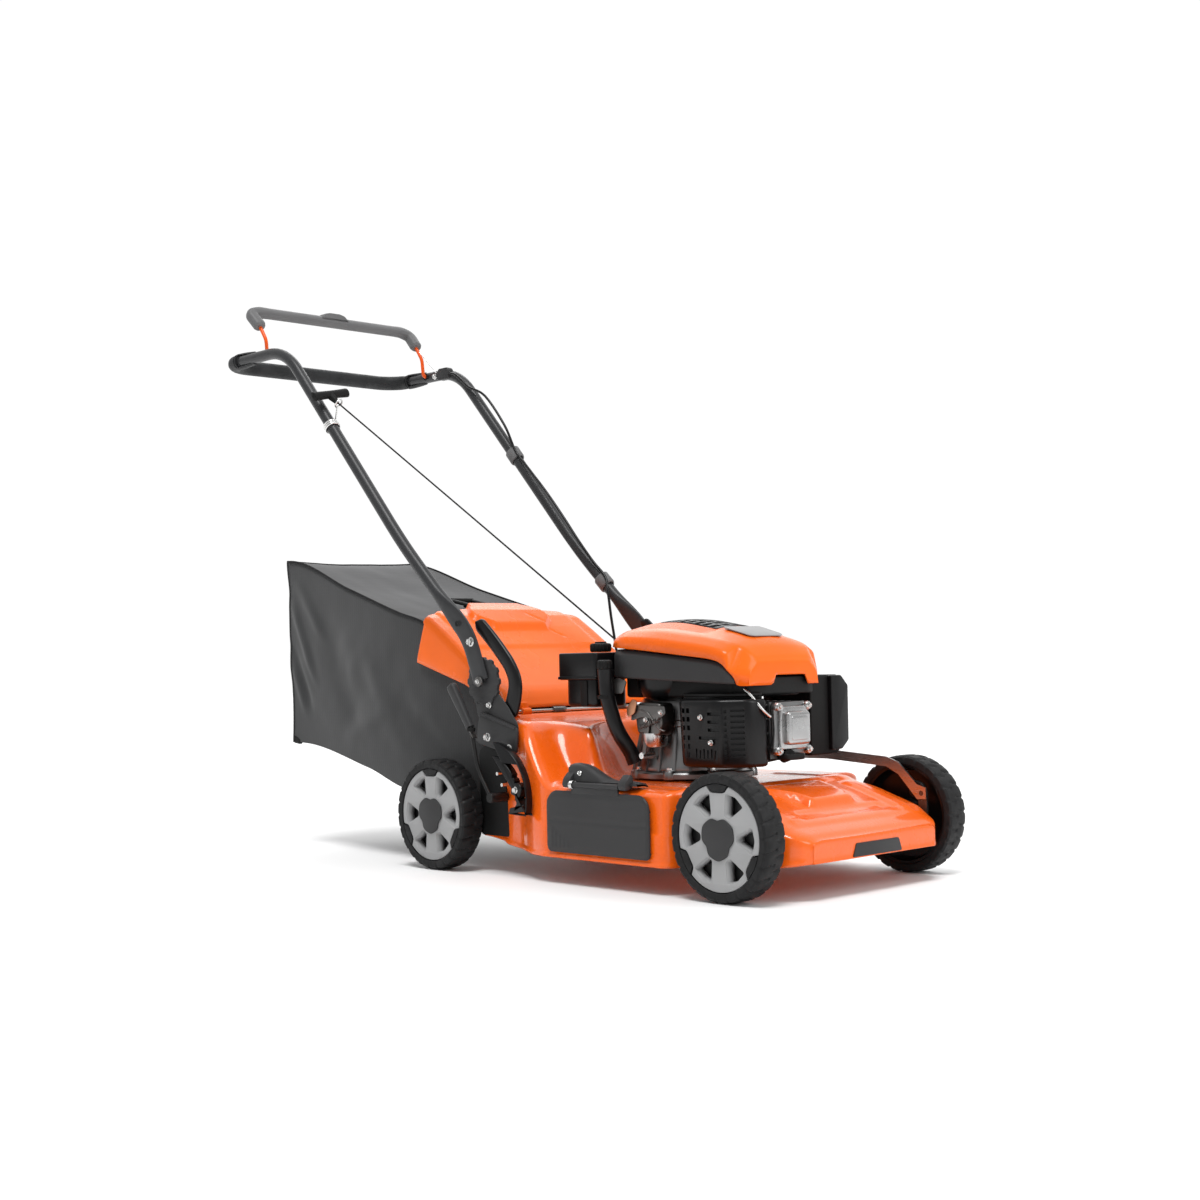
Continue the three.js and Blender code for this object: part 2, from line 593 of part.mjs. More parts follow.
// Brake cable along the left arm, its end box and two clips.
const cableRoute = [
  [-811.6, 200.6, 969], [-790, 200.6, 968], [-765, 202, 955], [-745, 203.5, 940],
  [-700, 206, 906], [-640, 206, 838], [-609, 207, 783],
  [-566, 204, 742], [-510, 200, 690], [-460, 199, 636], [-420, 200, 588], [-385, 205, 545], [-354, 207, 514],
  [-337, 199, 484], [-327, 198.5, 438], [-318, 198.5, 392], [-308, 198.5, 340], [-292, 198.5, 288],
  [-262, 198.5, 256], [-225, 198.5, 246], [-180, 198.5, 245], [-140, 195, 248], [-100, 178, 270],
  [-60, 152, 300], [-34, 130, 322], [-16, 118, 334],
];
const cableCurve = new THREE.CatmullRomCurve3(cableRoute.map((p) => new THREE.Vector3(...p)));
const CABLE_R = 2.6;
const CABLE_GRID = { steps: 52, sides: 6 };
add("bail_cable", pipeAlong(cableCurve, { radius: CABLE_R, ...CABLE_GRID }), blackPlastic);
const armSeat = pipe(
  armRoute.map(([x, z]) => [x, HANDLE_Y, z]),
  { radius: TUBE_R + GAP, fillet: 45, steps: 20, sides: 10 },
);
add("cable_end_box", box([-855, 196, 949], [-812, 216, 984]).subtract(armSeat), blackPlastic);

// A point on a handle arm's axis at a height, and the sleeve of a clip around the arm there.
function armPoint(z) {
  const [low, high] = z < 572 ? [armRoute[0], armRoute[1]] : [armRoute[1], armRoute[2]];
  const t = (z - low[1]) / (high[1] - low[1]);
  return [low[0] + t * (high[0] - low[0]), z];
}
function armSleeve(zLow, zHigh, side, radius) {
  const ends = [zLow, zHigh].map((z) => [armPoint(z)[0], side * HANDLE_Y, z]);
  return pipe(ends, { radius, steps: 1, sides: 10 });
}
function makeClip(name, z) {
  const half = 9;
  const sleeve = armSleeve(z - half, z + half, 1, 15);
  const earEnds = [z - half, z + half].map((height) => {
    const [x] = armPoint(height);
    return [x + 9, 208, height + 9];
  });
  const ear = pipe(earEnds, { radius: 8, steps: 1, sides: 10 });
  const channel = pipeAlong(cableCurve, { radius: CABLE_R + 0.7, ...CABLE_GRID });
  const arm = armSleeve(z - 30, z + 30, 1, TUBE_R + 0.6);
  add(name, join(sleeve, ear).subtract(arm).subtract(channel), blackPlastic);
}
makeClip("cable_clip_upper", 773);
makeClip("cable_clip_lower", 503);

// Recoil starter: rope, pigtail guide on the right arm and T-shaped grip.
const ROPE_END = [-45, -62, 384];
const GUIDE = [-650, -199, 851];
const LOOP_R = 8;
const rope = pipe([ROPE_END, GUIDE], { radius: 1.5, steps: 1, sides: 8 });
add("starter_rope", rope, blackPlastic);
function makeStarterGrip() {
  const handle = pipe([[-668, -244, 864], [-668, -164, 872]], { radius: 10, steps: 1, sides: 12 });
  const nose = pipe([[-667, -203, 866], [-652.5, -200, 852.5]], { radius: 6.5, steps: 1, sides: 12 });
  add("starter_grip", join(handle, nose), blackPlastic);
}
makeStarterGrip();
function makeRopeGuide() {
  const along = new THREE.Vector3(...GUIDE).sub(new THREE.Vector3(...ROPE_END)).normalize();
  const sideways = new THREE.Vector3(0, 0, 1).cross(along).normalize();
  const upward = along.clone().cross(sideways);
  const centre = new THREE.Vector3(...GUIDE).addScaledVector(along, -4);
  const points = Array.from({ length: 13 }, (_, i) => {
    const a = -Math.PI / 2 + (i / 12) * 2 * Math.PI * 0.97;
    const across = centre.clone().addScaledVector(sideways, LOOP_R * Math.cos(a));
    return across.addScaledVector(upward, LOOP_R * Math.sin(a));
  });
  const loop = pipeAlong(new THREE.CatmullRomCurve3(points), { radius: 1.9, steps: 20, sides: 6 });
  const foot = points[0];
  const stem = pipe([foot.toArray(), [foot.x - 4, foot.y, foot.z - 16], [-660, -202, 806], [-664, -206, 800]],
    { radius: 1.9, fillet: 6, steps: 10, sides: 6 });
  const base = armSleeve(796, 814, -1, 14.5);
  add("rope_guide", join(loop, stem, base).subtract(armSleeve(760, 850, -1, TUBE_R + 0.6)), steel);
}
makeRopeGuide();

// Engine: crankcase on a flange, horizontal cylinder to the front, shroud, valve cover, muffler and guard.
const ENGINE_BASE = DECK_TOP + GAP;
const CASE_X = 58;
// The room that the crankcase takes, with clearance, for cutting its neighbours.
function crankcaseRoom() {
  return join(
    bar("z", 150, 222.5, [CASE_X, 0], 97 + (96 - 80) * 0.5, 16, 81),
    bar("z", 221, 300, [CASE_X, 0], 81, 16),
  );
}
function makeCrankcase() {
  const flange = bar("z", ENGINE_BASE, 174, [62, 0], 104, 20);
  const lower = bar("z", 173, 222, [CASE_X, 0], 96, 16, 80);
  const upper = bar("z", 221, 290, [CASE_X, 0], 80, 16);
  const ribs = [-70, -48, -26].map((a) => {
    const t = (a * Math.PI) / 180;
    const [c, s] = [Math.cos(t), Math.sin(t)];
    const corner = (reach, half) => [CASE_X + reach * c - half * s, reach * s + half * c];
    return plateXY([corner(60, 3), corner(60, -3), corner(100, -3), corner(100, 3)], 173, 195.5);
  });
  add("crankcase", join(flange, lower, upper, ...ribs), castAluminium);
}
makeCrankcase();

function makeCylinder() {
  let block = box([139, -42, 196], [266, 42, 284]);
  for (let i = 0; i < 7; i++) {
    const x = 150 + i * 15;
    block = block.subtract(box([x, 30, 190], [x + 7, 50, 290]));
    block = block.subtract(box([x, -50, 190], [x + 7, -30, 290]));
  }
  add("cylinder", block.subtract(crankcaseRoom()), castAluminium);
  const flange = box([266 + GAP, -40, 199], [274, 40, 284]);
  const cover = box([273, -27, 216], [291, 31, 270]);
  add("valve_cover", join(flange, cover), castAluminium);
}
makeCylinder();

function makeShroud() {
  const outline = [[132, -48], [132, -112], [140, -120], [222, -120], [262, -72], [262, -48]];
  const hollow = [[142, -42], [142, -110], [218, -110], [254, -68], [254, -42]];
  let shroud = plateXY(outline, 184, 291).subtract(plateXY(hollow, 190, 286));
  for (let i = 0; i < 5; i++) {
    shroud = shroud.subtract(box([190, -130, 202 + i * 15], [212, -100, 208 + i * 15]));
  }
  shroud = shroud.subtract(crankcaseRoom());
  add("cylinder_shroud", shroud, blackPlastic);
}
makeShroud();

function makeMuffler() {
  const outline = [[128, 206], [138, 198], [222, 198], [232, 208], [232, 312], [222, 322], [128, 322]];
  const guard = plateXZ(outline, 100, 189);
  const room = box([120, 90, 208], [226, 183, 316]);
  add("muffler_guard", guard.subtract(room), blackPlastic);
  const can = box([144, 104, 220], [218, 172, 300]);
  const pipeStub = bar("y", 42.5, 105, [200, 250], 11, 14);
  add("muffler", join(can, pipeStub), steel);
}
makeMuffler();

// Blower housing with its wide upper belt, the orange hood over it and the grille in the hood.
const hoodStations = [
  [-22, 104, 376, 92, 396],
  [24, 126, 374, 102, 415],
  [60, 125, 371, 100, 417],
  [150, 120, 361, 92, 405],
  [236, 113, 350, 80, 383],
  [241, 108, 312, 76, 381],
  [262, 84, 311, 64, 369],
];
function hoodRing([, wb, low, wt, high], wall, drop) {
  const mid = low + (high - low) * 0.55 - wall * 0.3;
  const waist = wb - wall * 0.8 - (wb - wt) * 0.25;
  const crown = wt - wall * 0.6;
  return [
    [-wb + wall, low - drop], [wb - wall, low - drop], [waist, mid],
    [crown, high - wall], [-crown, high - wall], [-waist, mid],
  ];
}
function hoodSkin(wall, drop, startX, endX) {
  const stations = hoodStations.map((s) => ({ x: s[0], ring: hoodRing(s, wall, drop) }));
  stations[0].x = startX;
  stations.at(-1).x = endX;
  return loftX(stations);
}
function makeHood() {
  let hood = hoodSkin(0, 0, -22, 262).subtract(hoodSkin(3, 12, -19, 259));
  hood = hood.subtract(plateXY([[250, -36], [275, -40], [275, 46], [250, 42]], 300, 327));
  hood = hood.subtract(box([40, -52, 380], [168, 52, 440]));
  hood = hood.subtract(box([-30, -72, 370], [-10, -50, 392]));
  add("engine_hood", hood, orangePlastic);
  let grille = box([40.5, -51.5, 396], [167.5, 51.5, 404]);
  for (let i = 0; i < 6; i++) grille = grille.subtract(box([52 + i * 18, -42, 390], [61 + i * 18, 42, 410]));
  add("hood_grille", grille, blackPlastic);
}
makeHood();

function blowerRing(w, top) {
  return [[-84, 292.5], [84, 292.5], [84, 325], [w, 327], [w, top], [-w, top], [-w, 327], [-84, 325]];
}
const blower = loftX([
  { x: -12, ring: blowerRing(108, 372) },
  { x: 26, ring: blowerRing(125, 371) },
  { x: 150, ring: blowerRing(118, 358) },
  { x: 234, ring: blowerRing(110, 347) },
]);
add("blower_housing", blower, greyPlastic);

// Fuel tank with its cap, oil filler tube with its dipstick cap.
const tankUpper = box([-112, -142, 322], [-20, -60, 368]);
const tankLower = box([-98, -138, 278], [-24, -64, 323]);
add("fuel_tank", join(tankUpper, tankLower), blackPlastic);
const FUEL_CAP = [-50, -100];
const fuelCap = join(bar("z", 368 + GAP, 384, FUEL_CAP, 18, 20), bar("z", 383, 386, FUEL_CAP, 15, 20));
add("fuel_cap", fuelCap, blackPlastic);
const oilTube = pipe([[2, -142, 340], [2, -142, 300], [16, -132, 240], [28, -112, 205], [32, -106, 188]],
  { radius: 10, fillet: 25, steps: 12, sides: 12 });
add("oil_filler_tube", oilTube.subtract(crankcaseRoom()), blackPlastic);
add("oil_dipstick", bar("z", 340 + GAP, 356, [2, -142], 13, 16), blackPlastic);

// Crankshaft end, blade and blade bolt below the deck.
const shaft = join(
  bar("z", BLADE_Z + 4 + GAP, ENGINE_BASE - GAP, [SHAFT_X, 0], 12.5, 18),
  bar("z", BLADE_Z + 4 + GAP, BLADE_Z + 12, [SHAFT_X, 0], 30, 20),
);
add("crankshaft", shaft, steel);
function makeBlade() {
  const r = BLADE_R;
  const outline = [
    [-r, -18], [-r + 12, -27], [-r + 80, -27], [-60, -25], [60, -25], [r - 12, -27], [r, -18],
    [r, 18], [r - 12, 27], [r - 80, 27], [60, 25], [-60, 25], [-r + 12, 27], [-r, 18],
  ];
  const turn = Math.PI / 5;
  const placed = outline.map(([x, y]) => [
    SHAFT_X + x * Math.cos(turn) - y * Math.sin(turn), x * Math.sin(turn) + y * Math.cos(turn),
  ]);
  let blade = plateXY(placed, BLADE_Z, BLADE_Z + 4);
  for (const end of [1, -1]) {
    const wing = [[r - 75, 14], [r - 8, 14], [r - 8, 24], [r - 70, 24]].map(([x, y]) => {
      const [ex, ey] = [end * x, end * y];
      return [SHAFT_X + ex * Math.cos(turn) - ey * Math.sin(turn), ex * Math.sin(turn) + ey * Math.cos(turn)];
    });
    blade = join(blade, plateXY(wing, BLADE_Z + 3, BLADE_Z + 14));
  }
  add("blade", blade, steel);
  add("blade_bolt", bar("z", BLADE_Z - 9, BLADE_Z - GAP, [SHAFT_X, 0], 13, 6), steel);
}
makeBlade();

// The box runs from the back of the grip to the front of the nose insert.
const xMax = FRONT_X + GAP + INSERT_T;
const xMin = CROSSBAR_X - GRIP_R;
mower.position.x = -(xMax + xMin) / 2;

export default mower;
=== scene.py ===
# The looks of a walk-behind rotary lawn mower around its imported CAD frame. Design frame, in millimetres:
# +X forward from midway between the axles, +Y to the operator's left, +Z up from the ground.
import math

import bmesh
import bpy
from mathutils import Matrix, Vector, noise


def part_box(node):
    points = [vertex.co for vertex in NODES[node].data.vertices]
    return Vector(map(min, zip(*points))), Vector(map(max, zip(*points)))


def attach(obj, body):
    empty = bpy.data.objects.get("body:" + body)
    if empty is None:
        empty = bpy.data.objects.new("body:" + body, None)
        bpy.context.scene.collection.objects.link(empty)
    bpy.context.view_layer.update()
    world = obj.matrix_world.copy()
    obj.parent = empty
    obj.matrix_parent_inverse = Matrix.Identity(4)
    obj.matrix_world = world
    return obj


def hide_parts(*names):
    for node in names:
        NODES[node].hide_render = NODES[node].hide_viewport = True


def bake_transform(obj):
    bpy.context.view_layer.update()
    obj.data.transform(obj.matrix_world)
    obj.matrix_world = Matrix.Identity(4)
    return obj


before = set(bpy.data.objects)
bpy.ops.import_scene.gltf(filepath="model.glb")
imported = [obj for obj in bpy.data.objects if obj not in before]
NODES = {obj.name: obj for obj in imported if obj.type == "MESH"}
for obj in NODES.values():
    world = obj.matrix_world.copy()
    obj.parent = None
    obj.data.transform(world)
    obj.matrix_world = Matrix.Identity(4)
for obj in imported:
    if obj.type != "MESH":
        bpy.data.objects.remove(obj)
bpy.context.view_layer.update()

MM = 0.001
TAU = 2 * math.pi
SIDES = {"left": 1, "right": -1}


def node_centre(name):
    low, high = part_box(name)
    return (Vector(low) + Vector(high)) / 2


FRONT_AXLE_X = node_centre("tyre_front_right").x
REAR_AXLE_X = node_centre("tyre_rear_right").x
MID_X = (FRONT_AXLE_X + REAR_AXLE_X) / 2
HALF_BASE = (FRONT_AXLE_X - REAR_AXLE_X) / 2 / MM
WHEEL_Z = node_centre("tyre_front_right").z / MM


def at(x, y, z):
    """A point of the design frame, in millimetres, as a point of the row frame, in metres."""
    return Vector((MID_X + x * MM, y * MM, z * MM))


# ---------- camera, light and floor ----------
def make_camera():
    azimuth, pitch, roll = math.radians(46.26), math.radians(-1.81), math.radians(-1.29)
    back = Vector((math.sin(azimuth) * math.cos(pitch), -math.cos(azimuth) * math.cos(pitch),
                   math.sin(pitch)))
    right = Vector((0, 0, 1)).cross(back).normalized()
    up = back.cross(right)
    tilted_right = math.cos(roll) * right + math.sin(roll) * up
    tilted_up = -math.sin(roll) * right + math.cos(roll) * up
    data = bpy.data.cameras.new("camera")
    data.sensor_width = 36
    data.lens = 51.45
    data.clip_end = 60
    camera = link("camera", data)
    axes = Matrix((tilted_right, tilted_up, back)).transposed().to_4x4()
    camera.matrix_world = Matrix.Translation(at(2020, -2080, 365)) @ axes
    bpy.context.scene.camera = camera


def link(name, data):
    """A new object in the scene that shows some data."""
    thing = bpy.data.objects.new(name, data)
    bpy.context.scene.collection.objects.link(thing)
    return thing


def make_light(name, place, target, size, power):
    data = bpy.data.lights.new(name, "AREA")
    data.shape = "RECTANGLE"
    data.size, data.size_y = size
    data.energy = power
    light = link(name, data)
    light.location = place
    light.rotation_euler = (Vector(target) - Vector(place)).to_track_quat("-Z", "Y").to_euler()


AMBIENT = 0.45  # the room's light on the object, away from the bright backdrop
BACKDROP = 1.25
BACKDROP_SIDE = (-0.72, 0.69, 0.1)


def make_sun(name, towards, strength, spread_degrees):
    """A large, distant soft box: it lights the whole floor evenly."""
    data = bpy.data.lights.new(name, "SUN")
    data.energy = strength
    data.angle = math.radians(spread_degrees)
    link(name, data).rotation_euler = Vector(towards).to_track_quat("Z", "Y").to_euler()


def make_studio():
    world = bpy.data.worlds.new("studio")
    bpy.context.scene.world = world
    world.use_nodes = True
    nodes, links = world.node_tree.nodes, world.node_tree.links
    seen = nodes["Background"]
    fill_inputs(seen, Color=(1, 1, 1, 1), Strength=1.02)
    fill = nodes.new("ShaderNodeBackground")
    fill_inputs(fill, Color=(1, 1, 1, 1))
    ray = nodes.new("ShaderNodeLightPath")
    choice = nodes.new("ShaderNodeMixShader")
    place = nodes.new("ShaderNodeTexCoord")
    towards = nodes.new("ShaderNodeVectorMath")
    towards.operation = "DOT_PRODUCT"
    towards.inputs[1].default_value = BACKDROP_SIDE
    spread_out = nodes.new("ShaderNodeMapRange")
    fill_inputs(spread_out, From_Min=0.0, From_Max=0.9, To_Min=AMBIENT, To_Max=BACKDROP)
    links.new(place.outputs["Generated"], towards.inputs[0])
    links.new(towards.outputs["Value"], spread_out.inputs["Value"])
    links.new(spread_out.outputs["Result"], fill.inputs["Strength"])
    links.new(ray.outputs["Is Camera Ray"], choice.inputs[0])
    links.new(fill.outputs["Background"], choice.inputs[1])
    links.new(seen.outputs["Background"], choice.inputs[2])
    links.new(choice.outputs["Shader"], nodes["World Output"].inputs["Surface"])
    middle = at(-150, 0, 350)
    make_sun("key", (0.7, -1.0, 3.4), 2.1, 24)
    make_light("front", middle + Vector((3.2, 0.8, 1.6)), middle, (1.4, 2.0), 34)
    make_light("rear", middle + Vector((-2.6, 1.8, 2.6)), middle, (2.0, 1.8), 24)
    bpy.context.scene.view_settings.view_transform = "Standard"
    floor_mesh = bpy.data.meshes.new("floor")
    reach = 14
    corners = [(-reach, -reach, 0), (reach, -reach, 0), (reach, reach, 0), (-reach, reach, 0)]
    floor_mesh.from_pydata(corners, [], [(0, 1, 2, 3)])
    floor_mesh.materials.append(plain_material("pale_floor", (0.93, 0.93, 0.93), 0.65))
    link("floor", floor_mesh)


# ---------- materials ----------
SHEEN_LEVEL = 0.28


def plain_material(name, colour, roughness, metallic=0.0):
    material = bpy.data.materials.new(name)
    material.use_nodes = True
    shader = material.node_tree.nodes["Principled BSDF"]
    fill_inputs(shader, Base_Color=(*colour, 1), Roughness=roughness, Metallic=metallic,
                Specular_IOR_Level=0.5 if metallic else SHEEN_LEVEL)
    return material


def fill_inputs(node, **values):
    """Sets a node's inputs by name, with _ for a space."""
    for key, value in values.items():
        node.inputs[key.replace("_", " ")].default_value = value


class Surface:
    """A material built from noise and other textures in object coordinates."""

    def __init__(self, name, colour, roughness, metallic=0.0):
        self.material = plain_material(name, colour, roughness, metallic)
        self.tree = self.material.node_tree
        self.shader = self.tree.nodes["Principled BSDF"]
        self.place = self.add("ShaderNodeTexCoord").outputs["Object"]
        self.normal = None

    def add(self, kind, **settings):
        node = self.tree.nodes.new(kind)
        for key, value in settings.items():
            setattr(node, key, value)
        return node

    def join(self, source, target):
        self.tree.links.new(source, target)

    def noise(self, scale, detail=3.0, stretch=(1, 1, 1)):
        mapping = self.add("ShaderNodeMapping")
        fill_inputs(mapping, Scale=stretch)
        self.join(self.place, mapping.inputs["Vector"])
        texture = self.add("ShaderNodeTexNoise")
        fill_inputs(texture, Scale=scale, Detail=detail, Roughness=0.55)
        self.join(mapping.outputs["Vector"], texture.inputs["Vector"])
        return texture.outputs["Fac"]

    def remap(self, source, low, high):
        node = self.add("ShaderNodeMapRange")
        fill_inputs(node, From_Min=0.3, From_Max=0.7, To_Min=low, To_Max=high)
        self.join(source, node.inputs["Value"])
        return node.outputs["Result"]

    def vary_colour(self, source, dark, light):
        mix = self.add("ShaderNodeMix", data_type="RGBA")
        mix.inputs["A"].default_value = (*dark, 1)
        mix.inputs["B"].default_value = (*light, 1)
        self.join(self.remap(source, 0, 1), mix.inputs["Factor"])
        self.join(mix.outputs["Result"], self.shader.inputs["Base Color"])

    def vary_roughness(self, source, low, high):
        self.join(self.remap(source, low, high), self.shader.inputs["Roughness"])

    def bump(self, source, strength, distance):
        node = self.add("ShaderNodeBump")
        fill_inputs(node, Strength=strength, Distance=distance)
        self.join(source, node.inputs["Height"])
        if self.normal:
            self.join(self.normal, node.inputs["Normal"])
        self.normal = node.outputs["Normal"]
        self.join(self.normal, self.shader.inputs["Normal"])


def shade(colour, factor):
    return tuple(min(1.0, c * factor) for c in colour)


def gloss_paint(name, colour):
    """Baked enamel on pressed steel: clear coat, faint orange peel and a little dust."""
    s = Surface(name, colour, 0.28)
    s.vary_colour(s.noise(3.0), shade(colour, 0.93), shade(colour, 1.04))
    s.vary_roughness(s.noise(35.0), 0.22, 0.34)
    s.bump(s.noise(160.0, 1.0), 0.03, 0.0004)
    fill_inputs(s.shader, Coat_Weight=0.6, Coat_Roughness=0.05)
    return s.material


def moulded(name, colour, roughness):
    """Injection-moulded plastic, uneven in colour and gloss."""
    s = Surface(name, colour, roughness)
    s.vary_colour(s.noise(6.0), shade(colour, 0.9), shade(colour, 1.1))
    s.vary_roughness(s.noise(14.0), roughness - 0.02, roughness + 0.03)
    return s.material


def metal(name, colour, roughness, stretch=(1, 1, 1), cast=0.0):
    """Bare metal, brushed along the least stretched axis, or cast when cast is above 0."""
    s = Surface(name, colour, roughness, 1.0)
    s.vary_colour(s.noise(9.0), shade(colour, 0.82), shade(colour, 1.1))
    s.vary_roughness(s.noise(40.0, 4.0, stretch), roughness - 0.05, roughness + 0.06)
    if cast:
        fill_inputs(s.shader, Specular_IOR_Level=0.4)
        s.bump(s.noise(700.0, 3.0), cast, 0.0005)
    return s.material


def rubber(name, colour, roughness):
    """Tyre rubber, with a dusty bloom in places."""
    s = Surface(name, colour, roughness)
    s.vary_colour(s.noise(28.0, 4.0), shade(colour, 0.75), shade(colour, 1.45))
    s.vary_roughness(s.noise(90.0), roughness - 0.1, roughness + 0.1)
    s.bump(s.noise(1100.0, 2.0), 0.15, 0.0004)
    return s.material


THREAD = 0.0011


def woven(name, colour):
    """Plain-woven polyester: crossing threads as bump, faintly uneven colour, and soft sheen."""
    s = Surface(name, colour, 0.86)
    waves = []
    for direction in ("X", "Z"):
        wave = s.add("ShaderNodeTexWave", wave_type="BANDS", bands_direction=direction)
        fill_inputs(wave, Scale=1 / (THREAD * 20), Distortion=0.4)
        s.join(s.place, wave.inputs["Vector"])
        waves.append(wave.outputs["Fac"])
    weave = s.add("ShaderNodeMath", operation="MULTIPLY")
    s.join(waves[0], weave.inputs[0])
    s.join(waves[1], weave.inputs[1])
    s.vary_colour(s.noise(5.0, 4.0), shade(colour, 0.86), shade(colour, 1.14))
    s.bump(weave.outputs["Value"], 0.22, 0.0004)
    s.bump(s.noise(11.0, 3.0), 0.25, 0.004)
    fill_inputs(s.shader, Sheen_Weight=0.25, Sheen_Roughness=0.5)
    return s.material


ORANGE = (0.88, 0.125, 0.006)
MATERIALS = {
    "paint": gloss_paint("orange_enamel", ORANGE),
    "orange_plastic": moulded("orange_moulding", (0.90, 0.140, 0.007), 0.26),
    "bail_coat": moulded("orange_wire_coat", (0.82, 0.10, 0.008), 0.35),
    "grey_plastic": moulded("grey_moulding", (0.033, 0.033, 0.034), 0.46),
    "light_plastic": moulded("mid_grey_moulding", (0.135, 0.135, 0.137), 0.48),
    # Pale grey plastic for the hood's front panel: its lightness is partly the panel's own grey and partly
    # a painted highlight.
    "pale_grey_and_highlight_plastic": moulded("light_grey_moulding_and_painted_highlight", (0.30, 0.30, 0.302), 0.4),
    "black_plastic": moulded("black_moulding", (0.0045, 0.0045, 0.005), 0.30),
    # Matt black plastic for real black parts. The same material is also painted shade in an empty bolt
    # hole, in the flap's slit, under the hood's grille and behind the right rear wheel.
    "soot_plastic": moulded("matt_black_moulding_and_painted_shade", (0.002, 0.002, 0.002), 0.6),
    "rim": moulded("silver_moulding", (0.34, 0.342, 0.345), 0.40),
    "tyre": rubber("tread_rubber", (0.008, 0.008, 0.0085), 0.6),
    "rope": rubber("braided_rope", (0.012, 0.012, 0.0125), 0.8),
    "grip": rubber("grip_foam", (0.018, 0.019, 0.020), 0.58),
    "steel": metal("plated_steel", (0.55, 0.54, 0.53), 0.3, (1, 8, 8)),
    "zinc": metal("zinc_fastener", (0.70, 0.70, 0.69), 0.24),
    "dark_steel": metal("dull_steel", (0.16, 0.155, 0.15), 0.42),
    "light_steel": metal("painted_steel", (0.04, 0.04, 0.04), 0.5),
    "copper": metal("copper_plate", (0.55, 0.26, 0.15), 0.35),
    "piping": rubber("seam_tape", (0.010, 0.010, 0.0105), 0.8),
    "cast": metal("die_cast", (0.26, 0.26, 0.26), 0.36, cast=0.08),
    "bright_cast": metal("polished_casting", (0.50, 0.50, 0.50), 0.28),
    "tube": moulded("handle_coating", (0.034, 0.035, 0.037), 0.36),
    "fabric": woven("bag_cloth", (0.027, 0.0275, 0.0285)),
    "lid_fabric": woven("bag_lid_cloth", (0.050, 0.051, 0.053)),
}


# ---------- making pieces ----------
def from_bmesh(bm, name, material, body="chassis", bevel=0.0, sharp=38):
    """Makes a piece of a bmesh, in millimetres of the design frame, and rounds its sharp edges when a bevel
    is given.
    """
    bmesh.ops.remove_doubles(bm, verts=bm.verts, dist=0.02)
    bmesh.ops.recalc_face_normals(bm, faces=bm.faces)
    if bevel:
        edges = [e for e in bm.edges if len(e.link_faces) == 2 and e.calc_face_angle(0) > math.radians(28)]
        bmesh.ops.bevel(bm, geom=edges, offset=bevel, segments=2, affect="EDGES", clamp_overlap=True)
    for v in bm.verts:
        v.co = at(*v.co)
    mesh_data = bpy.data.meshes.new(name)
    bm.to_mesh(mesh_data)
    bm.free()
    mesh_data.materials.append(MATERIALS[material])
    mesh_data.shade_smooth()
    mesh_data.set_sharp_from_angle(angle=math.radians(sharp))
    piece = link(name, mesh_data)
    if body:
        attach(piece, body)
    return piece


def thicken(piece, thickness, offset=-1):
    """Gives a sheet its wall, in millimetres."""
    wall = piece.modifiers.new("wall", "SOLIDIFY")
    wall.thickness = thickness * MM
    wall.offset = offset


def grid_bmesh(rows, closed_rows=False, closed_columns=False, caps=False, bm=None):
    """Quads between rows of points; each row has the same count."""
    bm = bm or bmesh.new()
    verts = [[bm.verts.new(p) for p in row] for row in rows]
    count, width = len(rows), len(rows[0])
    for i in range(count if closed_rows else count - 1):
        for j in range(width if closed_columns else width - 1):
            a, b = verts[i][j], verts[i][(j + 1) % width]
            c, d = verts[(i + 1) % count][(j + 1) % width], verts[(i + 1) % count][j]
            if len({a, b, c, d}) == 4:
                bm.faces.new((a, b, c, d))
    if caps:
        bm.faces.new(list(reversed(verts[0])))
        bm.faces.new(verts[-1])
    return bm


def loft(rows):
    """Quads round closed sections, with the first and last filled."""
    return grid_bmesh(rows, closed_columns=True, caps=True)


def wheel_round(rows):
    """Quads round closed sections whose last joins the first."""
    return grid_bmesh(rows, closed_rows=True, closed_columns=True)


def box_into(bm, low, high):
    """Adds a box to a bmesh, and gives its vertices: round the foot, then round the top."""
    corners = [(x, y, z) for z in (low[2], high[2]) for x, y in
               ((low[0], low[1]), (high[0], low[1]), (high[0], high[1]), (low[0], high[1]))]
    verts = [bm.verts.new(c) for c in corners]
    for face in ((3, 2, 1, 0), (4, 5, 6, 7), (0, 1, 5, 4), (1, 2, 6, 5), (2, 3, 7, 6), (3, 0, 4, 7)):
        bm.faces.new([verts[i] for i in face])
    return verts


def place_corners(verts, corners):
    """Moves a box's vertices to new places."""
    for v, corner in zip(verts, corners):
        v.co = corner


def shares(count):
    return [i / count for i in range(count + 1)]


def catmull(points, steps):
    """A smooth curve through the points, with steps points per span."""
    pts = [Vector(p) for p in points]
    padded = [2 * pts[0] - pts[1], *pts, 2 * pts[-1] - pts[-2]]
    curve = []
    for i in range(1, len(padded) - 2):
        a, b, c, d = padded[i - 1:i + 3]
        for k in range(steps):
            t = k / steps
            curve.append(0.5 * (2 * b + (c - a) * t + (2 * a - 5 * b + 4 * c - d) * t * t
                                + (3 * b - a - 3 * c + d) * t ** 3))
    curve.append(pts[-1])
    return curve


def round_corner(before, corner, after, radius, most, steps):
    """A curve across a corner, which takes at most a share of each side."""
    back, ahead = before - corner, after - corner
    reach = min(radius, back.length * most, ahead.length * most)
    start, end = corner + back.normalized() * reach, corner + ahead.normalized() * reach
    return [(1 - t) ** 2 * start + 2 * t * (1 - t) * corner + t * t * end for t in shares(steps)]


